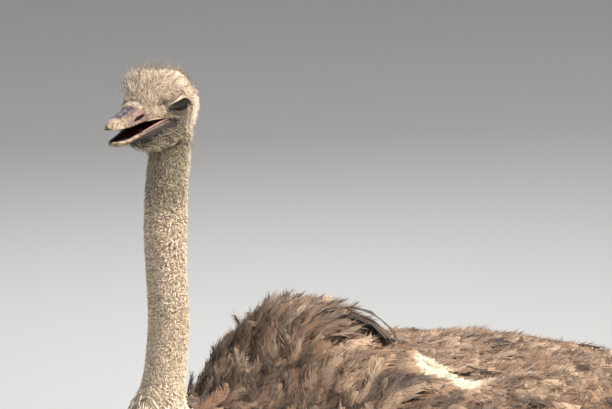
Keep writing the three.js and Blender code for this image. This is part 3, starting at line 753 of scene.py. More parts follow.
def plant(count, weight, seed, ground=skin):
    # roots spread by area times weight: the grid's cells are lined up block by block, and each root takes an
    # even share of the running total, so no block gets more than its share
    rng = np.random.default_rng(seed)
    area = np.linalg.norm(np.cross(ground["down"], ground["across"]), axis=-1)[:-1] * weight[:-1]
    i, j = np.meshgrid(np.arange(area.shape[0]), np.arange(area.shape[1]), indexing="ij")
    block = 4
    order = np.lexsort((j.ravel(), i.ravel(), j.ravel() // block, i.ravel() // block))
    total = np.cumsum(area.ravel()[order])
    share = (np.arange(count) + rng.random(count)) / count
    pick = order[np.searchsorted(total, share * total[-1] * 0.99999)]
    return i.ravel()[pick] + rng.random(count), j.ravel()[pick] + rng.random(count), rng


def layAlong(i, j, heading, turn, bend, length, stations, lift, ground=skin):
    # spines that walk over the skin from their roots: each step goes the heading's way, turned in the skin's
    # plane by turn plus bend times the share of the length, and each station stands off by lift of that share
    path, normals = [], []
    i, j = i.copy(), j.copy()
    for k, t in enumerate(stations):
        point, normal = readGrid(ground["points"], i, j), unit(readGrid(ground["normal"], i, j))
        way = heading(point, normal)
        way = unit(way - dot(way, normal) * normal)
        angle = (turn + bend * t)[:, None]
        way = way * np.cos(angle) + np.cross(normal, way) * np.sin(angle)
        path.append(point + normal * lift(t)[:, None])
        normals.append(normal)
        if k + 1 < len(stations):
            step = way * (length * (stations[k + 1] - t))[:, None]
            down, across = readGrid(ground["down"], i, j), readGrid(ground["across"], i, j)
            dd, rr, dr = dot(down, down)[:, 0], dot(across, across)[:, 0], dot(down, across)[:, 0]
            sd, sr = dot(step, down)[:, 0], dot(step, across)[:, 0]
            room = np.maximum(dd * rr - dr * dr, 1e-12)
            i = np.clip(i + np.clip((sd * rr - sr * dr) / room, -20, 20), 0, ground["points"].shape[0] - 1.01)
            j = j + np.clip((sr * dd - sd * dr) / room, -20, 20)
    return np.stack(path, 1), np.stack(normals, 1)


def hangFree(root, way, droop, length, stations, normal):
    # spines in the air: straight along their way, sinking by droop times the share of the length squared
    t = np.asarray(stations)[:, None]
    path = root[:, None] + way[:, None] * t * length[:, None, None]
    path = path - np.array([0, 0, 1.0]) * (droop[:, None] * t[:, 0] ** 2)[..., None]
    return path, np.tile(normal[:, None], (1, len(stations), 1))


def clothe(template, path, normals, stations, width, roll):
    # each point of the template goes beside its spine: its share along, and half widths across and above
    along, across, above = template["points"].T
    k = np.clip(np.searchsorted(stations, along, side="right") - 1, 0, len(stations) - 2)
    t = ((along - stations[k]) / (stations[k + 1] - stations[k]))[:, None]
    tangent = unit(np.gradient(path, axis=1))
    side = unit(np.cross(normals, tangent))
    up = np.cross(tangent, side)
    c, s = np.cos(roll)[:, None, None], np.sin(roll)[:, None, None]
    side, up = side * c + up * s, up * c - side * s
    middle, sideways, upward = (v[:, k] * (1 - t) + v[:, k + 1] * t for v in (path, side, up))
    w = width[:, None, None]
    return middle + sideways * across[:, None] * w + upward * above[:, None] * w


def plumeTemplate(seed, hairs=24, segments=4, loose=1.25):
    # a soft vane: a broad cupped strip on each side of the shaft, edged with fine hairs that lean to the tip
    rng = np.random.default_rng(seed)
    t = np.linspace(0, 1, segments + 1)
    half = 0.62 * np.sin(pi * (0.08 + 0.86 * t ** 0.9)) ** 0.65 * rng.uniform(0.9, 1.1, segments + 1)
    half[-1] = 0.2
    ruffle = rng.uniform(-0.14, 0.1, (2, segments + 1))
    shaft = np.stack([t, 0 * t, 0.12 + 0 * t], -1)
    left = np.stack([t - 0.02, half, ruffle[0] - 0.08], -1)
    right = np.stack([t - 0.02, -half, ruffle[1] - 0.08], -1)
    n = segments + 1
    k = np.arange(segments)
    quads = [np.stack([k, k + 1, n + k + 1, n + k], -1), np.stack([k + 1, k, 2 * n + k, 2 * n + k + 1], -1)]
    points, triangles, first = [shaft, left, right], [], 3 * n
    for side, rise in ((1, ruffle[0]), (-1, ruffle[1])):
        at = np.linspace(0.12, 1.0, hairs) + rng.uniform(-0.02, 0.02, hairs)
        edge, low = np.interp(at, t, half), np.interp(at, t, rise) - 0.08
        reach = rng.uniform(0.12, 0.42, hairs) * (1 - 0.5 * at) * loose
        lean = (0.10 + 0.06 * at + rng.uniform(-0.03, 0.04, hairs)) * (0.7 + 0.3 * loose)
        wide = 0.54 / hairs * rng.uniform(0.8, 1.4, hairs)
        sag = low + rng.uniform(-0.25, 0.2, hairs) * loose
        a = np.stack([at - wide, edge * 0.86, low * 0.9], -1)
        b = np.stack([at + wide, edge * 0.86, low * 0.9], -1)
        c = np.stack([at + lean, edge + reach, sag], -1)
        m = first + 3 * np.arange(hairs)
        triangles.append(np.stack([m, m + 1, m + 2], -1)[:, ::side])
        points.append(np.stack([a, b, c], 1).reshape(-1, 3) * [1, side, 1])
        first += 3 * hairs
    points = np.concatenate(points)
    points[:, 0] = np.clip(points[:, 0], 0, 1.12)
    return {"points": points, "quads": np.concatenate(quads), "triangles": np.concatenate(triangles)}


def bladeTemplate(segments, taper, cup=0.0):  # a narrow strip, drawn to a point by the taper
    t = np.linspace(0, 1, segments + 1)
    half = np.maximum((1 - t) ** taper, 0.08) * (0.6 + 0.4 * ease(0, 0.2, t))
    left, right = np.stack([t, half, cup * t], -1), np.stack([t, -half, -cup * t], -1)
    n = segments + 1
    k = np.arange(segments)
    quads = np.stack([k, k + 1, n + k + 1, n + k], -1)
    return {"points": np.concatenate([left, right]), "quads": quads, "triangles": np.zeros((0, 3), int)}


def bakePlace(i, j, ground=skin):  # a root's place on its ground's unwrap: columns across, rows upward
    rows, columns = ground["points"].shape[:2]
    return np.stack([0.004 + 0.992 * (j % columns) / columns, 0.004 + 0.992 * i / rows], -1)


bakeHalf = 0.0015  # half of a tuft's patch on the bake map


def tuftPiece(name, batches, material, replaced=(), paint=None):
    # joins batches of clothed templates into one mesh, with each tuft's tone and places along and across it
    points, quads, triangles, tones, vanes, bakes, tips, first = [], [], [], [], [], [], [], 0
    for batch in batches:
        template, placed = batch["template"], batch["points"]
        count, size = placed.shape[:2]
        shift = first + size * np.arange(count)[:, None, None]
        points.append(placed.reshape(-1, 3))
        quads.append((template["quads"] + shift).reshape(-1, 4))
        triangles.append((template["triangles"] + shift).reshape(-1, 3))
        along, across, _ = template["points"].T
        onward = along * batch["length"][:, None] + batch["shift"][:, None]
        vanes.append(np.stack([across * batch["width"][:, None], onward], -1).reshape(-1, 2))
        patch = batch["bake"][:, None] + np.stack([across, along - 0.5], -1) * bakeHalf
        bakes.append(np.clip(patch, 0.0005, 0.9995).reshape(-1, 2))
        tones.append(np.repeat(batch["tone"], size, axis=0))
        tips.append(np.tile(np.clip(along, 0, 1), count))
        first += count * size
    points, tones = np.concatenate(points), np.concatenate(tones)
    piece, corners = putMesh(name, points, np.concatenate(quads), np.concatenate(triangles))
    if paint:
        tones = np.clip(paint(points, tones), 0, 2)
    addValues(piece, tone=tones[:, 0], pale=tones[:, 1], along=np.concatenate(tips))
    addUV(piece, corners, "vane", np.concatenate(vanes))
    addUV(piece, corners, "OFBake", np.concatenate(bakes))
    print(name, "has", 2 * sum(map(len, quads)) + sum(map(len, triangles)), "triangles")
    return finishPiece(piece, material, replaced)


# surfaces

def feed(tree, made, inputs):  # each of a node's inputs is a plain value, or linked from another's output
    for key, value in inputs.items():
        if isinstance(value, bpy.types.NodeSocket):
            tree.links.new(value, made.inputs[key])
        else:
            made.inputs[key].default_value = value
    return made


def node(tree, kind, inputs=None, **settings):  # a new node with its settings and inputs
    made = tree.nodes.new("ShaderNode" + kind)
    for key, value in settings.items():
        setattr(made, key, value)
    return feed(tree, made, inputs or {})


def math(tree, operation, *values):  # one sum: its operands are numbers or outputs
    return node(tree, "Math", dict(enumerate(values)), operation=operation).outputs[0]


def rampOf(tree, value, low, high, start=0.0, end=1.0):  # value from low..high to start..end, smoothly
    inputs = {0: value, 1: low, 2: high, 3: start, 4: end}
    return node(tree, "MapRange", inputs, interpolation_type="SMOOTHSTEP").outputs[0]


def blend(tree, factor, first, second):  # colour first where the factor is 0, second where it is 1
    first, second = ((*colour, 1) if isinstance(colour, tuple) else colour for colour in (first, second))
    return node(tree, "Mix", {0: factor, 6: first, 7: second}, data_type="RGBA").outputs[2]


def noise(tree, vector, scale, detail=3.0, roughness=0.55):  # clouds from 0 to 1, scale to the metre
    inputs = {"Vector": vector, "Scale": scale, "Detail": detail, "Roughness": roughness}
    return node(tree, "TexNoise", inputs).outputs[0]


def attribute(tree, name):  # a value kept at the mesh's points
    return node(tree, "Attribute", attribute_name=name).outputs["Fac"]


def groupOf(name, inputs, outputs):
    # a shared node group with vector or float sockets: returns it with its input and output nodes
    tree = bpy.data.node_groups.new(name, "ShaderNodeTree")
    for key, kind in inputs.items():
        tree.interface.new_socket(key, in_out="INPUT", socket_type=kind)
    for key, kind in outputs.items():
        tree.interface.new_socket(key, in_out="OUTPUT", socket_type=kind)
    return tree, tree.nodes.new("NodeGroupInput").outputs, tree.nodes.new("NodeGroupOutput").inputs


def useGroup(tree, group, inputs):  # the outputs of a shared group placed in a material
    made = tree.nodes.new("ShaderNodeGroup")
    made.node_tree = group
    return feed(tree, made, inputs).outputs


def surface(name, roughness, colour=None, **fixed):  # a material, its plain values set on the shader
    material = bpy.data.materials.new(name)
    material.use_nodes = True
    shader = material.node_tree.nodes["Principled BSDF"]
    shader.inputs["Roughness"].default_value = roughness
    if colour:
        shader.inputs["Base Color"].default_value = (*colour, 1)
    for key, value in fixed.items():
        shader.inputs[key.replace("_", " ")].default_value = value
    return material, material.node_tree, shader


def joinColour(tree, shader, colour):  # the colour's output feeds the shader's base colour
    tree.links.new(colour, shader.inputs["Base Color"])


def joinBump(tree, shader, height, strength, distance):  # tilts the surface by the height's slope
    made = node(tree, "Bump", {"Height": height, "Strength": strength, "Distance": distance})
    tree.links.new(made.outputs[0], shader.inputs["Normal"])


def makeBarbs():
    # barbs leave the shaft at a slant, so a stripe runs where along less a multiple of across is constant;
    # the tone moves the noise, so that no two tufts have the same stripes
    tree, given, out = groupOf("barbs", {"Vane": "NodeSocketVector", "Tone": "NodeSocketFloat"},
                               {"Stripe": "NodeSocketFloat", "Clump": "NodeSocketFloat"})
    parts = node(tree, "SeparateXYZ", {0: given["Vane"]}).outputs
    across = math(tree, "ABSOLUTE", parts[0])
    slant = math(tree, "MULTIPLY_ADD", across, -1.9, parts[1])
    ways = (slant, across, given["Tone"])
    for name, *scales in (("Stripe", 620.0, 60.0, 37.0), ("Clump", 150.0, 40.0, 91.0)):
        parts = [math(tree, "MULTIPLY", way, scale) for way, scale in zip(ways, scales)]
        place = node(tree, "CombineXYZ", dict(enumerate(parts))).outputs[0]
        tree.links.new(noise(tree, place, 1.0, 2.0), out[name])
    return tree


def makeMottle():
    # broad clouds, fine clouds and the distance to the edges of small cells
    outputs = {"Broad": "NodeSocketFloat", "Fine": "NodeSocketFloat", "Cells": "NodeSocketFloat"}
    tree, given, out = groupOf("mottle", {"Place": "NodeSocketVector"}, outputs)
    cells = node(tree, "TexVoronoi", {"Vector": given["Place"], "Scale": 210.0}, feature="DISTANCE_TO_EDGE")
    tree.links.new(cells.outputs["Distance"], out["Cells"])
    tree.links.new(noise(tree, given["Place"], 9.0, 3.0), out["Broad"])
    tree.links.new(noise(tree, given["Place"], 160.0, 4.0, 0.6), out["Fine"])
    return tree


barbs, mottle = makeBarbs(), makeMottle()


def mottleOf(tree):  # the mottle at the object's own coordinates
    return useGroup(tree, mottle, {"Place": node(tree, "TexCoord").outputs["Object"]})


quillWhite = (0.80, 0.84, 0.86)


def plumeSurface(name, colours):
    # dark at the root, partly the plume's own dark base and partly painted shade where plumes overlap; brown
    # in the middle and pale at the tips and fringes; tone shifts the whole tuft, and turns it white past 1.1
    material, tree, shader = surface(name, 0.75, Sheen_Weight=0.08, Sheen_Roughness=0.5)
    vane = node(tree, "UVMap", uv_map="vane").outputs[0]
    tone, pale, along = (attribute(tree, key) for key in ("tone", "pale", "along"))
    lines, spots = useGroup(tree, barbs, {"Vane": vane, "Tone": tone}), mottleOf(tree)
    level = math(tree, "ADD", tone, math(tree, "MULTIPLY_ADD", lines["Clump"], 1.0, -0.5))
    level = math(tree, "ADD", level, math(tree, "MULTIPLY_ADD", spots["Broad"], 0.5, -0.25))
    colour = blend(tree, rampOf(tree, level, 0.05, 0.95), colours["deep"], colours["body"])
    tip = math(tree, "MULTIPLY", rampOf(tree, along, 0.35, 1.0), pale)
    tip = math(tree, "MULTIPLY", tip, rampOf(tree, lines["Stripe"], 0.3, 0.62, 0.45, 1.0))
    colour = blend(tree, tip, colour, colours["pale"])
    # painted shade: each plume darkens toward its root, where the plumes above overlap it
    root = math(tree, "MULTIPLY", rampOf(tree, along, 0.55, 0.02), colours["rootShade"])
    colour = blend(tree, root, colour, colours["root"])
    colour = blend(tree, rampOf(tree, tone, 1.1, 1.5), colour, colours.get("white", quillWhite))
    # painted shade in the gaps between the barbs
    barbShade = rampOf(tree, lines["Stripe"], 0.50, 0.34, 0.0, 0.85)
    colour = blend(tree, barbShade, colour, colours["root"])
    joinColour(tree, shader, colour)
    joinBump(tree, shader, lines["Stripe"], 0.8, 0.0016)
    return material


surfaces = {
    "plume": plumeSurface("soft_plumes", {
        "deep": (0.026, 0.013, 0.008), "body": (0.205, 0.108, 0.057), "pale": (0.51, 0.355, 0.232),
        "root": (0.014, 0.008, 0.006), "rootShade": 0.9, "white": (0.76, 0.68, 0.51)}),
    "tail": plumeSurface("tail_plumes", {
        "deep": (0.10, 0.068, 0.045), "body": (0.34, 0.25, 0.165), "pale": (0.60, 0.50, 0.38),
        "root": (0.03, 0.022, 0.017), "rootShade": 0.7}),
    "neck": plumeSurface("neck_down", {
        "deep": (0.48, 0.35, 0.235), "body": (0.94, 0.745, 0.515), "pale": (1.0, 0.90, 0.74),
        "root": (0.12, 0.088, 0.064), "rootShade": 0.8}),
    "down": plumeSurface("head_down", {
        "deep": (0.135, 0.082, 0.05), "body": (0.94, 0.715, 0.49), "pale": (1.0, 0.91, 0.76),
        "root": (0.10, 0.066, 0.045), "rootShade": 0.65}),
    "throat": plumeSurface("throat_hairs", {
        "deep": (0.072, 0.050, 0.029), "body": (0.32, 0.245, 0.148), "pale": (0.68, 0.57, 0.385),
        "root": (0.03, 0.023, 0.017), "rootShade": 0.7}),
    "lash": plumeSurface("lashes", {
        "deep": (0.012, 0.008, 0.006), "body": (0.02, 0.013, 0.01), "pale": (0.05, 0.035, 0.025),
        "root": (0.006, 0.004, 0.003), "rootShade": 0.5}),
    "bristle": plumeSurface("dark_bristles", {
        "deep": (0.09, 0.055, 0.030), "body": (0.30, 0.20, 0.115), "pale": (0.55, 0.42, 0.27),
        "root": (0.012, 0.009, 0.007), "rootShade": 0.5}),
}


# the coat

skinAngle = trunkOval(*apart(bodyPlace))[-1]
wingRow = readRows(body["wing"], bodyPlace[..., 1])
onWing = (ease(-2, 3, wingRow[..., 0] - skinAngle) * ease(-4, 6, skinAngle - wingRow[..., 1])
          * ease(250, 275, bodyPlace[..., 1]) * ease(875, 850, bodyPlace[..., 1]))
rowsDown = skinStops[:, None] * np.ones((1, skinGrid.shape[1]))
onTrunk = ease(15.2, 16.0, rowsDown)


def bodyFlow(point, normal):
    # down and out over the breast, up the hump's front, then back along the body and in to the tail
    x, y, z = apart(toBody(point))
    breast = ease(210, 60, y)[..., None]
    climb = (hill(y, 230, 190) * ease(960, 1090, z))[..., None]
    flank = (ease(980, 820, z) * ease(300, 500, y))[..., None]
    inward = (ease(650, 1000, y) * x / 260)[..., None]
    down = np.stack([x / 160, 0.42 + 0 * x, -0.95 + 0 * x], -1)
    way = np.array([0, 1.0, -0.04]) * (1 - breast) + breast * down
    return way + climb * [0, -0.35, 0.95] + flank * [0, -0.1, -0.3] - inward * [0.8, 0, 0]


plumes = {
    # [back from the breast, length, half width, how far the tips stand off]
    "size": [[-80, 70, 17, 15], [60, 88, 20, 20], [200, 108, 24, 27], [400, 122, 22, 26], [700, 134, 22, 26],
             [1060, 142, 22, 25]],
    "stations": np.array([0, 0.2, 0.42, 0.64, 0.84, 1.0, 1.12]),
    "templates": [plumeTemplate(seed) for seed in range(40, 46)],
    "loose": [plumeTemplate(seed, 28, 6, 2.2) for seed in range(46, 52)],
    "turn": 0.22, "roll": 0.35,  # how far their ways and their tilts scatter, in radians
    "patch": [[170, 488, 1174], [62, 88, 58]],  # middle and reach of the cream patch
    # the loose ones that stand up; where is the middle and the reach of their stretch of the body
    "crest": {"count": 170, "seed": 51, "where": [240, 100], "length": (0.065, 0.105),
              "width": (0.010, 0.018), "stand": (0.026, 0.05), "turn": 0.35, "bend": 0.7, "curve": 1.3,
              "template": 1, "tone": (0.4, 0.2), "fringe": (0.4, 0.25)},
    "front": {"count": 84, "seed": 53, "where": [135, 75], "length": (0.055, 0.095), "width": (0.009, 0.016),
              "stand": (0.016, 0.042), "turn": 0.3, "bend": 0.5, "curve": 1.2, "template": 3,
              "tone": (0.34, 0.16), "fringe": (0.3, 0.2)},
    # knots of the long dark bunch that bows over the dip behind the crest
    "arc": {"count": 11, "seed": 52, "length": 0.2, "knots": [
        [14, 285, 1246], [34, 322, 1266], [56, 356, 1271], [88, 380, 1259], [114, 390, 1240],
        [128, 395, 1224]]},
    "hanging": {"each": 15, "length": (0.165, 0.205), "width": (0.02, 0.028), "droop": (0.02, 0.05)},
    # [half spread in degrees, height, pitch, length] of each fan
    "fans": [[38, 1036, 0.02, 172], [36, 1004, -0.36, 205], [28, 970, -0.75, 180]],
    "fanned": {"each": 5, "width": (0.022, 0.034), "droop": (0.03, 0.075)},
}


def bodyPlumes(count, weight, seed, grow=1.0, paleness=0.5, tone=0.5):
    # plumes of every template in turn, laid from area-weighted roots and sized by how far back they grow
    i, j, rng = plant(count, weight, seed)
    batches, turns = [], len(plumes["templates"])
    for k, template in enumerate(plumes["templates"]):
        a, b = i[k::turns], j[k::turns]
        n = len(a)
        q = toBody(readGrid(skin["points"], a, b))
        length, width, stand = apart(readRows(plumes["size"], q[:, 1]))
        length = length * grow * rng.uniform(0.78, 1.22, n) * mm
        width = width * rng.uniform(0.8, 1.2, n) * mm
        stand = stand * rng.uniform(0.25, 1.15, n) * mm
        turn, bend = rng.normal(0, plumes["turn"], n), rng.normal(0, plumes["turn"], n)
        path, normals = layAlong(a, b, bodyFlow, turn, bend, length, plumes["stations"],
                                 lambda t: stand * (0.1 + 0.9 * t ** 1.2) - 2 * mm)
        placed = clothe(template, path, normals, plumes["stations"], width, rng.normal(0, plumes["roll"], n))
        clouds = np.sin(q[:, 0] * 0.013 + 2) * np.sin(q[:, 1] * 0.011 + 1) * np.sin(q[:, 2] * 0.017)
        shade = np.clip(tone + rng.normal(0, 0.2, n) + 0.15 * clouds, 0, 1)
        fringe = np.clip(paleness + rng.normal(0, 0.3, n), 0, 1)
        batches.append({"template": template, "points": placed, "width": width, "length": length,
                        "shift": rng.uniform(0, 9, n), "tone": np.column_stack([shade, fringe]),
                        "bake": bakePlace(a, b)})
    return batches


def paintBody(points, tones):
    # markings in place: a cream oval over the near wing's shoulder, and a dark line of painted shade
    # along the crease where the wing tucks in
    q = toBody(points)
    middle, reach = plumes["patch"]
    white = ease(1.15, 0.75, np.linalg.norm((q - middle) / reach, axis=1))
    top = readRows(body["wing"], q[:, 1])[:, 0]
    # painted shade: the plumes darken along the crease at the wing's upper edge
    line = hill(trunkOval(*q.T)[-1] - top, 1.0, 5.5) * ease(270, 310, q[:, 1]) * ease(520, 440, q[:, 1])
    shade = tones[:, 0] * (1 - 0.85 * line) * (1 - white) + 1.6 * white
    return np.column_stack([shade, np.minimum(tones[:, 1] * (1 - line) + white, 1)])


def freePlumes(template, path, normals, stations, width, length, tone, fringe, bake, rng, roll=0.25):
    # one template clothed onto given spines, each rolled a little about its own
    n = len(path)
    placed = clothe(template, path, normals, stations, width, rng.normal(0, roll, n))
    tones = np.column_stack([np.clip(tone, 0, 1), np.clip(fringe, 0, 1)])
    return {"template": template, "points": placed, "width": width, "length": length,
            "shift": rng.uniform(0, 9, n), "tone": tones, "bake": bake}


def wisps(kind, around):
    # loose plumes that stand up off the skin by a power of their share of the length
    kind = plumes[kind]
    n = kind["count"]
    i, j, rng = plant(n, around * hill(bodyPlace[..., 1], *kind["where"]) * onTrunk, kind["seed"])
    length, width = rng.uniform(*kind["length"], n), rng.uniform(*kind["width"], n)
    stand = rng.uniform(*kind["stand"], n)
    turn, bend = rng.normal(0, kind["turn"], n), rng.normal(0, kind["bend"], n)
    path, normals = layAlong(i, j, bodyFlow, turn, bend, length, plumes["stations"],
                             lambda t: stand * t ** kind["curve"])
    return [freePlumes(plumes["loose"][kind["template"]], path, normals, plumes["stations"], width, length,
                       rng.normal(*kind["tone"], n), rng.normal(*kind["fringe"], n), bakePlace(i, j), rng)]


def arcPlume():
    # every plume follows the knots' curve, moved aside a little as a whole and a little at each station
    arc = plumes["arc"]
    rng = np.random.default_rng(arc["seed"])
    n = arc["count"]
    knots = np.array(arc["knots"], float)
    at = plumes["stations"] / plumes["stations"][-1]
    line = readRows(np.column_stack([np.linspace(0, 1, len(knots)), knots]), at)
    aside = rng.normal(0, 1, (n, 1, 3)) * [8, 8, 5]
    path = fromBody(line[None] + aside + rng.normal(0, 2.5, (n, len(at), 3)))
    normal = np.tile(np.array([0.35, 0, 0.94]), (n, len(at), 1))
    return [freePlumes(plumes["templates"][2], path, normal, plumes["stations"], rng.uniform(0.007, 0.013, n),
                       np.full(n, arc["length"]), rng.normal(0.08, 0.08, n), rng.uniform(0, 0.25, n),
                       np.tile([0.25, 0.6], (n, 1)), rng, 0.5)]


def hangingPlumes(side, seed):
    # long loose plumes from the folded wing's hind edge: back and down, the lower ones steeper
    rng = np.random.default_rng(seed)
    kind, batches = plumes["hanging"], []
    n = kind["each"]
    for template in plumes["loose"]:
        u = (np.arange(n) + rng.random(n)) / n  # share of the way up the wing's hind edge
        y = 545 + 215 * (0.5 * np.sin(pi * u) + 0.5 * u) + rng.uniform(-28, 28, n)
        angle = np.radians(-30 + 68 * u + rng.uniform(-5, 5, n))
        middle, wide, up, down, _ = readRows(body["trunk"], y).T
        out = -4 + 14 * rng.random(n)
        c, s = np.cos(angle), np.sin(angle)
        high = np.where(s > 0, up, down)
        root = fromBody(np.column_stack([side * (wide + out) * c, y, middle + (high + out) * s]))
        way = np.column_stack([side * (0.06 - 0.3 * u), 0.9 + 0 * u, -0.72 + 0.55 * u])
        way = unit(way + rng.normal(0, 0.06, (n, 3)))
        normal = unit(np.column_stack([side * c, 0 * u, s]))
        length, droop = rng.uniform(*kind["length"], n), rng.uniform(*kind["droop"], n)
        path, normals = hangFree(root, way, droop, length, plumes["stations"], normal)
        bake = np.column_stack([0.25 - side * 0.15 + 0.02 * u, 0.7 + 0.2 * u])
        batches.append(freePlumes(template, path, normals, plumes["stations"], rng.uniform(*kind["width"], n),
                                  length, rng.normal(0.42, 0.16, n), rng.normal(0.5, 0.25, n), bake, rng))
    return batches


def tailPlumes(seed):
    # three fans one over another, spread evenly to the sides and drooping
    rng = np.random.default_rng(seed)
    kind, batches = plumes["fanned"], []
    n = kind["each"]
    for template in plumes["loose"]:
        for spread, high, pitch, reach in plumes["fans"]:
            u = (np.arange(n) + rng.random(n)) / n - 0.5  # from the right edge to the left
            turn = np.radians(2 * spread * u)
            y = 962 - 60 * np.abs(u) - 30 * rng.random(n)
            root = fromBody(np.column_stack([165 * u, y, high - 30 * np.abs(u)]))
            way = unit(np.column_stack([np.sin(turn), np.cos(turn), pitch + rng.normal(0, 0.09, n)]))
            normal = unit(np.array([0, 0.4, 1.0]) + 0 * way)
            length, droop = reach * mm * rng.uniform(0.85, 1.03, n), rng.uniform(*kind["droop"], n)
            path, normals = hangFree(root, way, droop, length, plumes["stations"], normal)
            bake = np.column_stack([0.25 + 0.3 * u, 0.95 + 0 * u])
            batches.append(freePlumes(template, path, normals, plumes["stations"],
                                      rng.uniform(*kind["width"], n), length, rng.normal(0.6, 0.18, n),
                                      rng.normal(0.7, 0.25, n), bake, rng))
    return batches


def tufts(template, weight, flow, tone, fringe, count, seed, length, width, stand, turn, bend, roll=0.5,
          stations=4, sink=0.5, grow=None, ground=skin):
    # small tufts of one template laid along the flow; they stand off by a power of their share of the length.
    # numbers in pairs are the least and the most, in millimetres
    i, j, rng = plant(count, weight, seed, ground)
    place = readGrid(ground["points"], i, j)
    size = np.ones(count) if grow is None else grow(place)
    longs = rng.uniform(*length, count) * size * mm
    wides = rng.uniform(*width, count) * mm
    lifts = rng.uniform(*stand, count) * size * mm
    at = np.linspace(0, 1, stations)
    path, normals = layAlong(i, j, flow, rng.normal(0, turn, count), rng.normal(0, bend, count), longs, at,
                             lambda t: lifts * t ** 0.8 - sink * mm, ground)
    placed = clothe(template, path, normals, at, wides, rng.normal(0, roll, count))
    shade = tone(place, rng) if callable(tone) else rng.normal(tone, 0.2, count)
    light = fringe(place, rng) if callable(fringe) else rng.normal(fringe, 0.25, count)
    tones = np.column_stack([np.clip(shade, 0, 1.6), np.clip(light, 0, 1)])
    return {"template": template, "points": placed, "width": wides, "length": longs,
            "shift": rng.uniform(0, 9, count), "tone": tones, "bake": bakePlace(i, j, ground)}


def thighFlow(point, normal):  # down the leg and a little back
    return np.array([0, 0.35, -1.0]) + 0 * point


thighTufts = {
    "count": 70, "length": (58, 92), "width": (11, 17), "stand": (5, 14), "turn": 0.25, "bend": 0.3,
    "roll": 0.3, "stations": 6, "sink": 2}


def thighPlumes(side, seed):
    # a loose skirt of plumes down over the top of each thigh, longest where it leaves the flank
    ground = groundOf(skinShells[1 if side > 0 else 4][0])  # after the body, each side has a leg and two toes
    weight = ease(0.80, 0.86, ground["points"][..., 2])
    return [tufts(template, weight, thighFlow, 0.4, 0.35, seed=seed + k, ground=ground, **thighTufts)
            for k, template in enumerate(plumes["templates"])]


# each patch of plumes: how many, seed, tone and paleness, and how much longer than their place gives
patches = {
    "breast": {"count": 2650, "seed": 1, "tone": 0.55, "paleness": 0.34},
    "back": {"count": 2150, "seed": 2, "tone": 0.5, "paleness": 0.34},
    "flank_left": {"count": 1100, "seed": 3, "tone": 0.5, "paleness": 0.34},
    "flank_right": {"count": 1100, "seed": 4, "tone": 0.5, "paleness": 0.34},
    "wing_left": {"count": 1450, "seed": 5, "tone": 0.46, "paleness": 0.34, "grow": 1.1},
    "wing_right": {"count": 1450, "seed": 6, "tone": 0.46, "paleness": 0.34, "grow": 1.1},
    "tail": {"count": 360, "seed": 7, "tone": 0.6, "paleness": 0.7, "grow": 0.8},
}


def coatBody():
    # the skin's grid is shared out by masks of 0 to 1, one for each patch, and each patch grows its plumes
    y = bodyPlace[..., 1]
    left = bodyPlace[..., 0] > 0
    front = y < 330
    above = skinAngle > 5
    clear = onTrunk * (1 - onWing)
    density = 1.15 - 0.5 * ease(-20, -50, skinAngle)
    where = {
        "breast": clear * front * density, "back": clear * ~front * above,
        "flank_left": clear * ~front * ~above * left * density,
        "flank_right": clear * ~front * ~above * ~left * density,
        "wing_left": onWing * left, "wing_right": onWing * ~left,
        "tail": onTrunk * ease(900, 960, y) * ease(-80, -60, skinAngle)}
    extras = {
        "breast": lambda: wisps("front", ease(38, 60, skinAngle)),
        "back": lambda: wisps("crest", ease(26, 8, np.abs(skinAngle - 84))) + arcPlume(),
        "flank_left": lambda: thighPlumes(1, 70), "flank_right": lambda: thighPlumes(-1, 70),
        "wing_left": lambda: hangingPlumes(1, 15), "wing_right": lambda: hangingPlumes(-1, 16),
        "tail": lambda: tailPlumes(8)}
    slots = {"wing_left": "wing_plumes", "wing_right": "wing_plumes", "tail": "tail_plumes"}
    for name, settings in patches.items():
        batches = bodyPlumes(weight=where[name], **settings) + extras[name]()
        tail = name == "tail"
        material, slot = surfaces["tail" if tail else "plume"], slots.get(name, "plumage")
        tuftPiece("plumes_" + name, batches, material, [name] if name in slots else (),
                  paint=None if tail else paintBody)


coatBody()


# neck, head and throat

def neckFlow(point, normal):  # down the neck, leaning back
    return np.array([0, 0.15, -1.0]) + 0 * point


def headFlow(point, normal):
    # back from the bill over the crown, up from the lores, and down behind the eye and over the cheeks
    f, l, u = apart(toHead(point))
    front = ease(0, 50, f)[..., None]
    low = ease(5, -30, u)[..., None] * ease(30, -10, f)[..., None]
    behind = ease(-30, -60, f)[..., None]
    side = np.sign(l)[..., None]
    way = headAxes[:, 0] * -1 + headAxes[:, 2] * (0.45 * front - 0.9 * low - 0.8 * behind)
    return way + headAxes[:, 1] * side * 0.25 * front


neckTufts = {
    "upper": {"count": 18500, "seed": 21}, "lower": {"count": 17500, "seed": 22}, "split": 12.0,
    "curls": {"length": (5.2, 8.4), "width": (0.66, 1.05), "stand": (2.8, 6.0), "turn": 1.25, "bend": 1.8,
              "roll": 0.7},
    "long": {"count": 5200, "seed": 23, "length": (18, 34), "width": (1.2, 2.4), "stand": (4, 12),
             "turn": 0.4, "bend": 0.5, "stations": 5},
}


def neckTone(p, rng):  # browner on the near side toward the head, paler toward the body
    q = toBody(p)
    browner = ease(1380, 1560, q[:, 2]) * ease(-10, 30, q[:, 0] * 0.8 + (q[:, 1] - 18))
    return rng.normal(0.64, 0.2, len(p)) - 0.3 * browner + 0.1 * ease(1300, 1180, q[:, 2])


def neckFringe(p, rng):  # paler toward the body
    return rng.normal(0.45, 0.3, len(p)) + 0.3 * ease(1300, 1190, toBody(p)[:, 2])


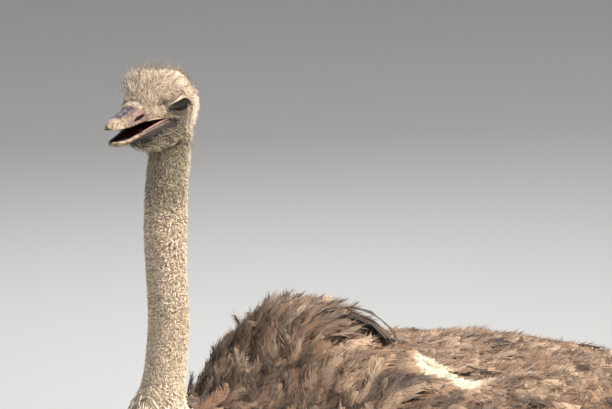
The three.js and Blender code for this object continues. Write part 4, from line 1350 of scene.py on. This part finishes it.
def coatNeck():
    # short curls in two pieces that meet at the split, and longer tufts eased in toward the body
    neck = ease(16.4, 15.4, rowsDown) * ease(7.2, 8.2, rowsDown)
    curl, split = bladeTemplate(3, 0.35, 0.35), neckTufts["split"]
    short = neck * ease(15.6, 14.4, rowsDown)
    for name, ends in (("upper", (split, split - 0.1)), ("lower", (split - 0.1, split))):
        curls = tufts(curl, short * ease(*ends, rowsDown), neckFlow, neckTone, neckFringe, **neckTufts[name],
                      **neckTufts["curls"])
        tuftPiece("neck_curls_" + name, [curls], surfaces["neck"])
    long = tufts(bladeTemplate(4, 0.6, 0.2), neck * ease(13.2, 15.0, rowsDown), bodyFlow, 0.55, 0.75,
                 **neckTufts["long"])
    tuftPiece("neck_tufts", [long], surfaces["neck"])


def mouthLine(f):  # height of the upper mouth edge
    return readRows(sorted([row[0], row[2]] for row in bill["gapeEdge"]), f)[..., 0]


def throatFlow(point, normal):  # down and back from the cheeks and chin, parting to both sides
    side = toHead(point)[..., 1:2]
    return headAxes[:, 0] * -0.75 - headAxes[:, 2] + headAxes[:, 1] * side / 60


def crestFlow(point, normal):  # up and out from the brows and forehead
    f, l, u = apart(toHead(point))
    back = headAxes[:, 0] * 0.5 * ease(30, -20, f)[..., None]
    return headAxes[:, 2] - back + headAxes[:, 1] * l[..., None] / 60


headTufts = {
    "down": {"count": 24000, "seed": 31, "length": (8, 13), "width": (0.35, 0.55), "stand": (1.4, 4.6),
             "turn": 0.22, "bend": 0.35},
    "fluff": {"count": 8600, "seed": 33, "length": (11, 19), "width": (0.26, 0.44), "stand": (5, 14),
              "turn": 0.5, "bend": 0.5},
    "frontlet": {"count": 1700, "seed": 38, "length": (13, 21), "width": (0.3, 0.5), "stand": (8, 17),
                 "turn": 0.6, "bend": 0.4},
    "ear": {"count": 3600, "seed": 36, "length": (13, 24), "width": (0.35, 0.6), "stand": (5, 13),
            "turn": 0.5, "bend": 0.6},
    "bristles": {"count": 1000, "seed": 32, "length": (17, 33), "width": (0.26, 0.42), "stand": (14, 28),
                 "turn": 0.6, "bend": 0.8, "stations": 5},
    "throat": {"count": 5800, "seed": 34, "length": (19, 34), "width": (0.5, 0.95), "stand": (4, 14),
               "turn": 0.35, "bend": 0.6, "stations": 5},
    "jaw": {"count": 3200, "seed": 35, "length": (22, 42), "width": (0.45, 0.85), "stand": (5, 19),
            "turn": 0.35, "bend": 0.6, "stations": 5},
    "billBase": {"count": 2300, "seed": 37, "length": (7, 12), "width": (0.3, 0.5), "stand": (1.6, 4.4),
                 "turn": 0.3, "bend": 0.5},
}


def headTone(p, rng):  # pale crown, darker cheek, darkest lores: partly painted light and shade
    f, l, u = toHead(p).T
    cheek, crown = ease(2, -26, u) * ease(24, 10, f), ease(8, 26, u)
    # painted light on the crown and painted shade on the cheek, over their own pale and olive-brown down
    shade = rng.normal(0.62, 0.17, len(p)) + 0.34 * crown - 0.62 * cheek
    # the lores partly dark down and partly painted shadow of the brow; painted shade dulls the bill's base
    return shade - 0.9 * hill(f, 32, 17) * hill(u, -1, 12) - 0.12 * ease(48, 58, f)


def earTone(p, rng):  # some white ones over the ear
    f, l, u = toHead(p).T
    return rng.normal(0.7, 0.2, len(p)) + rng.uniform(0.0, 0.7, len(p)) * hill(f, -36, 16) * hill(u, -2, 24)


def throatTone(p, rng):  # light and dark streaks
    f, l, u = toHead(p).T
    return rng.normal(0.42, 0.26, len(p)) + 0.45 * np.sin(l * 0.31 + f * 0.17)


def fluffSize(p):  # longest on the forehead and over the brows
    f, l, u = toHead(p).T
    return 0.5 + 0.65 * ease(16, 34, np.abs(l)) * ease(-20, 5, f) + 0.95 * ease(12, 36, f)


def lidSlope():
    # for each point of the skin: the cosine of its angle off the eye's outward axis, and its distance
    f, l, u = apart(headPlace)
    arm = np.stack([f, np.abs(l) - body["eyeOut"], u], -1)
    distance = np.linalg.norm(arm, axis=-1)
    return arm[..., 1] / distance, distance


def coatHead():
    # masks from 0 to 1 on the head's skin keep the eye, the bill and the mouth bare; each kind has its own
    f, l, u = apart(headPlace)
    side = np.abs(l)
    slope, distance = lidSlope()
    lid = ease(0.1, 0.0, slope - (0.52 + 0.13 * ease(2, 9, u))) + ease(30, 34, distance)
    border = ease(72, 66, f + 11 * ease(6, -10, u))
    palate = 1 - (f > 1) * ease(1.5, -1, u - mouthLine(f))
    above = ease(9.0, 7.6, rowsDown)
    head = above * np.clip(lid, 0, 1) * border * palate
    lores = hill(f, 30, 16) * hill(u - 1, 0, 7) * (side > 15)
    fine = bladeTemplate(3, 0.75, 0.3)
    down = tufts(fine, head * (1 - 0.8 * lores) * (0.4 + ease(-10, 50, f)), headFlow, headTone, 0.6,
                 grow=lambda p: 0.55 + 0.6 * ease(60, -10, toHead(p)[:, 0]), **headTufts["down"])
    tuftPiece("head_down", [down], surfaces["down"])

    crest = head * ease(11, 23, u) * ease(66, 50, f) * ease(-52, -30, f)
    fluff = tufts(fine, crest, crestFlow, headTone, 0.75, grow=fluffSize, **headTufts["fluff"])
    brow = head * ease(24, 34, f) * ease(71, 64, f) * ease(-6, 4, u)
    frontlet = tufts(fine, brow, crestFlow, headTone, 0.75, **headTufts["frontlet"],
                     grow=lambda p: 0.55 + 0.6 * ease(4, 24, toHead(p)[:, 2]))
    nape = ease(-26, -38, f) * ease(24, 8, u) * ease(-52, -38, u) * ease(10, 22, side)
    nape = nape + 0.7 * ease(-52, -60, f)
    ear = tufts(fine, np.clip(nape, 0, 1) * above, headFlow, earTone, 0.9, **headTufts["ear"],
                grow=lambda p: 1.1 - 0.45 * ease(-48, -60, toHead(p)[:, 0]))
    tuftPiece("head_crest", [fluff, frontlet, ear], surfaces["down"])

    crown = head * ease(8, 22, u) * (0.3 + ease(0, 40, f)) + 0.25 * head * ease(-30, -50, f)
    bristles = tufts(bladeTemplate(4, 0.8), crown, crestFlow, 0.42, 0.5, **headTufts["bristles"],
                     grow=lambda p: 0.75 + 0.6 * ease(-5, 35, toHead(p)[:, 0]))
    tuftPiece("head_bristles", [bristles], surfaces["bristle"])

    low = ease(9.6, 8.6, rowsDown) * ease(5.6, 6.4, rowsDown)
    low = low * ease(-14, -30, u) * (f < 1) * ease(-50, -30, f)
    lock = bladeTemplate(4, 0.7, 0.25)
    throat = tufts(lock, low, throatFlow, throatTone, 0.8, **headTufts["throat"],
                   grow=lambda p: 0.6 + 0.4 * ease(-82, -52, toHead(p)[:, 2]))
    x = spaced(bill["lowerRings"])[:, None]
    s = np.sin(circle(bill["lowerSides"]))
    chin = ease(-0.45, -0.75, s) * ease(84, 66, x) + ease(-0.2, -0.4, s) * ease(46, 30, x)
    under = tufts(lock, np.clip(chin, 0, 1), throatFlow, throatTone, 0.8, ground=groundOf(lowerBill()[0]),
                  **headTufts["jaw"])
    tuftPiece("throat_hairs", [throat, under], surfaces["throat"])

    horn, masks = upperBill()
    over = (masks["inside"] < 0.01) * ease(0.05, 0.12, 0.2 - masks["nostril"])
    edge = readRows([[row[0], row[3]] for row in bill["upper"]], masks["forward"])[..., 0]
    top = toHead(horn)[..., 2] - edge
    base = over * ease(2.5, 5, top) * ease(0, -4, masks["forward"] - 67 - 15 * ease(13, 24, top))
    short = tufts(fine, base, headFlow, 0.35, 0.45, ground=groundOf(horn), **headTufts["billBase"])
    tuftPiece("bill_base_down", [short], surfaces["down"])


coatNeck()
coatHead()
print("coat grown")


# skin, eyes and bill in place

def skinSurface():
    # dull pink-brown, dark round the eye as painted shade and on the lores as dark skin and painted shade,
    # with horny plates and small scales below the ankle
    material, tree, shader = surface("skin", 0.62)
    place = node(tree, "TexCoord").outputs["Object"]
    spots = useGroup(tree, mottle, {"Place": place})
    scute, front, thigh, step, dark, mouth = (
        attribute(tree, key) for key in ("scute", "front", "thigh", "step", "dark", "mouth"))
    line = math(tree, "FRACT", step)
    base = blend(tree, spots["Broad"], (0.24, 0.165, 0.125), (0.38, 0.29, 0.22))
    folds = node(tree, "Mapping", {"Vector": place, "Scale": (38, 38, 150)}).outputs[0]
    creases = noise(tree, folds, 1.0, 4.0, 0.6)
    legTone = blend(tree, creases, (0.16, 0.115, 0.10), (0.35, 0.265, 0.23))
    colour = blend(tree, thigh, base, legTone)
    plate = blend(tree, spots["Broad"], (0.22, 0.175, 0.15), (0.36, 0.29, 0.245))
    cracks = blend(tree, rampOf(tree, spots["Cells"], 0.16, 0.02, 0.0, 0.7), plate, (0.10, 0.075, 0.06))
    broad = blend(tree, rampOf(tree, line, 0.0, 0.9), (0.42, 0.35, 0.28), (0.24, 0.185, 0.145))
    broad = blend(tree, rampOf(tree, line, 0.16, 0.03), broad, (0.07, 0.05, 0.04))
    plate = blend(tree, front, cracks, broad)
    colour = blend(tree, scute, colour, plate)
    # painted shade round the eye, and on the lores over their darker skin
    colour = blend(tree, dark, colour, (0.045, 0.035, 0.032))
    colour = blend(tree, mouth, colour, (0.03, 0.006, 0.007))
    joinColour(tree, shader, colour)
    besides = rampOf(tree, front, 0.9, 0.3, 0.15, 1.0)
    cells = math(tree, "MULTIPLY", rampOf(tree, spots["Cells"], 0.0, 0.3), besides)
    relief = math(tree, "ADD", cells, math(tree, "MULTIPLY", creases, 1.6))
    relief = math(tree, "ADD", relief, math(tree, "MULTIPLY", rampOf(tree, line, 0.0, 0.22), front))
    joinBump(tree, shader, relief, 0.6, 0.0022)
    return material


def putSkin():
    # the skin's shells in one mesh, with the masks of each; the head has its mouth, and its dark places
    # round the eye and on the lores, partly painted shade, as well
    points, quads, fans = joinShells([grid for grid, _ in skinShells])
    piece, _ = putMesh("skin", points, quads, fans)
    f, l, u = apart(headPlace)
    mouth = ease(1.5, -1.0, u - mouthLine(f)) * (f > 0)
    # painted shade in the eye's socket; the lores partly dark skin and partly painted shade
    lores = hill(f, 34, 16) * hill(u, 0, 6) * (np.abs(l) > 12)
    ring = ease(0.5, 0.62, lidSlope()[0]) * (np.abs(f) < 34)
    head = {"dark": np.clip(0.7 * lores + ring, 0, 1), "mouth": mouth}
    values = {key: [] for key in ("scute", "front", "thigh", "step", "dark", "mouth")}
    for k, (grid, masks) in enumerate(skinShells):
        for key in values:
            mask = head[key] if k == 0 and key in head else masks.get(key, 0.0)
            values[key] += [np.broadcast_to(mask, grid.shape[:2]).ravel(), np.zeros(2)]
    addValues(piece, **{key: np.concatenate(parts) for key, parts in values.items()})
    nodes = ["head", "neck_upper", "neck_middle", "neck_lower", "trunk"]
    nodes += [part + "_" + name for part in ("thigh", "shank", "foot") for name in ("left", "right")]
    finishPiece(piece, skinSurface(), nodes)
    print("skin has", 2 * len(quads) + len(fans), "triangles")


def eyeSurface():
    # a dark brown iris round a black pupil, under a wet clear coat, kept dark as painted shade under the lid
    material, tree, shader = surface("eye", 0.2, Specular_IOR_Level=0.1, Coat_Weight=0.08,
                                     Coat_Roughness=0.04)
    angle, turn = attribute(tree, "angle"), attribute(tree, "turn")
    place = node(tree, "CombineXYZ", {0: math(tree, "MULTIPLY", turn, 9.0), 1: angle}).outputs[0]
    rays = noise(tree, place, 3.0)
    # the iris kept darker than its brown, as painted shade of the lid over it
    iris = blend(tree, rays, (0.010, 0.004, 0.002), (0.038, 0.017, 0.008))
    colour = blend(tree, rampOf(tree, angle, 0.30, 0.25), iris, (0.003, 0.003, 0.003))
    colour = blend(tree, rampOf(tree, angle, 0.60, 0.68), colour, (0.02, 0.014, 0.011))
    joinColour(tree, shader, colour)
    return material


def lidSurface():
    # pale cream lids, brown in their creases as painted shade, with a dark wet rim at the opening
    material, tree, shader = surface("lids", 0.5)
    spots = mottleOf(tree)
    t, upper, creaseShade = (attribute(tree, key) for key in ("out", "upper", "creaseShade"))
    pale = blend(tree, spots["Fine"], (0.28, 0.205, 0.135), (0.43, 0.335, 0.23))
    dull = blend(tree, spots["Fine"], (0.15, 0.11, 0.085), (0.28, 0.21, 0.16))
    colour = blend(tree, upper, dull, pale)
    colour = blend(tree, rampOf(tree, t, 0.26, 0.42, 0.0, 0.85), colour, (0.11, 0.066, 0.045))
    colour = blend(tree, creaseShade, colour, (0.07, 0.04, 0.028))
    colour = blend(tree, rampOf(tree, t, 0.13, 0.05), colour, (0.022, 0.014, 0.011))
    joinColour(tree, shader, colour)
    joinBump(tree, shader, spots["Fine"], 0.4, 0.0008)
    return material


def putEyes():
    # a ball for each eye, and the lids of both in one mesh, turned over where their normals add up inward
    ballSkin, lidSkin = eyeSurface(), lidSurface()
    shells, values = [], {"out": [], "upper": [], "creaseShade": []}
    for side, name in ((1, "left"), (-1, "right")):
        grid, angle = eyeball(side)
        points, quads, fans = joinShells([grid])
        piece, _ = putMesh("ball_" + name, points, quads, fans)
        turn = np.abs(np.linspace(-1, 1, eyes["ballSides"], endpoint=False)) + 0 * angle
        addValues(piece, angle=np.concatenate([angle.ravel(), [0, pi]]),
                  turn=np.concatenate([turn.ravel(), [0, 0]]))
        finishPiece(piece, ballSkin, ["eye_" + name])
        grid, t, upper, creaseShade = lidGrid(side)
        points = grid.reshape(-1, 3)
        quads = gridFaces(eyes["rows"], eyes["columns"], True).reshape(-1, 4)
        a, b, d = (points[quads[:, corner]] for corner in (0, 1, 3))
        normal = np.cross(b - a, d - a).sum(0)
        if normal @ headAxes[:, 1] * side < 0:
            quads = quads[:, ::-1]
        shells.append((points, quads))
        for key, value in (("out", t), ("upper", upper), ("creaseShade", creaseShade)):
            values[key].append((value + 0 * t).ravel())
    points = np.concatenate([p for p, _ in shells])
    quads = np.concatenate([shells[0][1], shells[1][1] + len(shells[0][0])])
    piece, _ = putMesh("lids", points, quads)
    addValues(piece, **{key: np.concatenate(parts) for key, parts in values.items()})
    finishPiece(piece, lidSkin)


# each lid's lashes: how many, from and to in half turns round the opening, [least, most] length, and droop
lashes = {"seed": 61, "half": 0.42, "lids": [(340, 0.06, 0.96, (7, 14), 6.5), (70, 1.05, 1.95, (4, 7), -1.5)]}


def putLashes(material):
    # stiff lashes along the upper lid's edge and a few on the lower, bowed out and down over the ball
    rng = np.random.default_rng(lashes["seed"])
    blade = bladeTemplate(3, 0.8)
    batches, at = [], np.linspace(0, 1, 4)
    for side in (1, -1):
        centre = fromHead([0, side * body["eyeOut"], 0])
        for count, low, high, reach, drop in lashes["lids"]:
            turn = np.sort(rng.uniform(low, high, count)) * pi
            forward, up = openingEdge(turn)
            angle = np.arcsin(np.hypot(forward, up) / body["lidBall"]) + rng.uniform(-0.01, 0.05, count)
            root = aroundEye(side, angle, np.arctan2(up, forward), np.full(count, body["lidBall"] - 0.6))
            out = unit(root - centre)
            slide = headAxes @ np.array([0.25, 0, 0]) + rng.normal(0, 0.12, (count, 3))
            length = rng.uniform(*reach, count) * mm
            way = unit(out * 0.8 + slide - headAxes[:, 2] * 0.25 * np.sign(drop))
            path = root[:, None] + way[:, None] * (at[:, None] * length[:, None, None])
            path = path - headAxes[:, 2] * (drop * mm * at ** 2 * np.ones((count, 1)))[..., None]
            none, bake = np.zeros(count), np.tile([0.25, 0.05], (count, 1))
            batches.append(freePlumes(blade, path, np.tile(out[:, None], (1, len(at), 1)), at,
                                      np.full(count, lashes["half"] * mm), length, none, none, bake, rng))
    tuftPiece("lashes", batches, material)


def hornSurface(name):
    # mauve-pink horn, blue-grey on the plate, cream at the tip; maroon where it turns inside; near black
    # below the lower bill's rim as painted shade
    material, tree, shader = surface(name, 0.5, Specular_IOR_Level=0.25)
    spots = mottleOf(tree)
    inside, plate, nostril, forward, under = (
        attribute(tree, key) for key in ("inside", "plate", "nostril", "forward", "under"))
    side = blend(tree, spots["Broad"], (0.078, 0.046, 0.046), (0.15, 0.092, 0.076))
    side = blend(tree, rampOf(tree, spots["Fine"], 0.42, 0.62), side, (0.24, 0.16, 0.115))
    tip = blend(tree, rampOf(tree, spots["Fine"], 0.40, 0.60), (0.15, 0.108, 0.078), (0.43, 0.34, 0.205))
    colour = blend(tree, rampOf(tree, forward, 0.100, 0.118), side, tip)
    blue = blend(tree, rampOf(tree, spots["Fine"], 0.4, 0.62), (0.010, 0.013, 0.024), (0.10, 0.08, 0.095))
    top = math(tree, "MULTIPLY", plate, rampOf(tree, forward, 0.126, 0.104))
    colour = blend(tree, top, colour, blue)
    flakes = math(tree, "MULTIPLY", rampOf(tree, spots["Fine"], 0.5, 0.62), 0.35)
    colour = blend(tree, flakes, colour, (0.16, 0.10, 0.09))
    # painted shade in the nostril's opening
    colour = blend(tree, rampOf(tree, nostril, 0.18, 0.5), colour, (0.012, 0.006, 0.005))
    # painted shade under the lower bill's rim
    underShade = blend(tree, spots["Broad"], (0.018, 0.016, 0.018), (0.06, 0.05, 0.048))
    colour = blend(tree, under, colour, underShade)
    flesh = blend(tree, rampOf(tree, forward, 0.08, 0.115), (0.062, 0.010, 0.010), (0.020, 0.013, 0.014))
    colour = blend(tree, inside, colour, flesh)
    joinColour(tree, shader, colour)
    tree.links.new(rampOf(tree, nostril, 0.1, 0.4, 0.55, 1.0), shader.inputs["Roughness"])
    joinBump(tree, shader, spots["Fine"], 0.35, 0.0012)
    return material


def flatMask(mask, grid):  # a mask's value at each point of a closed shell; the poles take their ring's mean
    return np.concatenate([np.broadcast_to(mask, grid.shape[:2]).ravel(), [mask[0].mean(), mask[-1].mean()]])


def putShells(name, grids, masks, material, replaced=()):
    # closed shells in one mesh, with each grid's masks laid end to end
    points, quads, fans = joinShells(grids)
    piece, _ = putMesh(name, points, quads, fans)
    if masks:
        addValues(piece, **{key: np.concatenate([flatMask(m[key], g) for m, g in zip(masks, grids)])
                            for key in masks[0]})
    return finishPiece(piece, material, replaced)


def putHead():
    # both bills, the soft rim of the gape, the cheek webs and the tongue
    horn = hornSurface("bill_horn")
    for name, (grid, masks) in (("bill_upper", upperBill()), ("bill_lower", lowerBill())):
        masks.setdefault("under", 0 * masks["inside"])
        masks["forward"] = (masks["forward"] + (bill["lowerMarks"] if name == "bill_lower" else 0)) * mm
        putShells(name + "_shape", [grid], [masks], horn, [name])
    lip, tree, shader = surface("lip", 0.45)
    t = attribute(tree, "t")
    tan = blend(tree, rampOf(tree, t, 0.45, 0.6), (0.36, 0.255, 0.165), (0.24, 0.135, 0.11))
    joinColour(tree, shader, tan)
    rims = [gapeRim(side) for side in (1, -1)]
    masks = [{"t": np.tile(t[:, None], (1, bill["gapeSides"]))} for _, t in rims]
    putShells("gape_rims", [grid for grid, _ in rims], masks, lip)
    flesh, tree, shader = surface("mouth_flesh", 0.3)
    spots = mottleOf(tree)
    red = blend(tree, spots["Fine"], (0.04, 0.006, 0.006), (0.12, 0.019, 0.018))
    joinColour(tree, shader, red)
    joinBump(tree, shader, spots["Fine"], 0.3, 0.001)
    putShells("mouth_lining", [mouthWeb(1), mouthWeb(-1), tongueGrid()], None, flesh)


def putClaws():
    # two horny claws a side, clouded in their own colour
    material, tree, shader = surface("claw", 0.38)
    spots = mottleOf(tree)
    joinColour(tree, shader, blend(tree, spots["Broad"], (0.045, 0.036, 0.03), (0.16, 0.125, 0.10)))
    for side, name in ((1, "left"), (-1, "right")):
        putShells("claws_" + name, clawShells[side], None, material, ["claw_" + name])


putSkin()
putEyes()
putLashes(surfaces["lash"])
putHead()
putClaws()
print("skin, eyes, bill and claws in place")


# studio

studio = {
    # the camera's place and target, from the ground below the neck's foot
    "camera": [3.79001517, -2.86775859, 2.78366654], "aim": [0.09030461, 0.23666718, 1.48957131],
    "lens": 179.41, "sensor": 36, "reach": 200,
    # [place, target, width, height, watts, colour] of the soft lights
    "lights": {
        "key": [[4.1, 1.85, 6.9], [0, -0.1, 1.2], 1.5, 1.5, 1220, (1, 0.95, 0.88)],
        "fill": [[4.8, -10.2, 3.6], [0, -0.3, 1.2], 9.0, 9.0, 600, (0.90, 0.94, 1.0)],
        "rim": [[-3.9, 2.4, 3.55], [0, 0, 1.3], 2.4, 2.4, 135, (0.92, 0.96, 1.0)]},
    "world": (0.80, 0.85, 0.92), "worldStrength": 0.42, "floor": (0.42, 0.415, 0.405), "floorHalf": 90.0,
}


def lookAlong(thing, place, target):  # stands at the place, facing along its own -Z to the target
    thing.location = place
    way = Vector(target) - Vector(place)
    thing.rotation_mode = "QUATERNION"
    thing.rotation_quaternion = way.to_track_quat("-Z", "Y")


def putStudio():
    # a wide plain floor, soft area lights, an even sky and the camera
    half = studio["floorHalf"]
    corners = half * np.array([[-1, -1, 0], [1, -1, 0], [1, 1, 0], [-1, 1, 0]])
    floor, _ = putMesh("floor", corners, [[0, 1, 2, 3]])
    floor.data.materials.append(surface("pale_floor", 0.85, studio["floor"])[0])
    for name, (place, target, wide, high, watts, colour) in studio["lights"].items():
        light = bpy.data.lights.new(name, "AREA")
        light.shape = "RECTANGLE"
        light.size, light.size_y, light.energy, light.color = wide, high, watts, colour
        lamp = bpy.data.objects.new(name, light)
        bpy.context.scene.collection.objects.link(lamp)
        lookAlong(lamp, place, target)
    world = bpy.data.worlds.new("studio")
    world.use_nodes = True
    background = world.node_tree.nodes["Background"]
    background.inputs["Color"].default_value = (*studio["world"], 1)
    background.inputs["Strength"].default_value = studio["worldStrength"]
    bpy.context.scene.world = world
    camera = bpy.data.cameras.new("camera")
    camera.lens, camera.sensor_width, camera.clip_end = studio["lens"], studio["sensor"], studio["reach"]
    eye = bpy.data.objects.new("camera", camera)
    bpy.context.scene.collection.objects.link(eye)
    lookAlong(eye, bodyAt + studio["camera"], bodyAt + studio["aim"])
    bpy.context.scene.camera = eye


bpy.context.scene.view_settings.view_transform = "Standard"
putStudio()
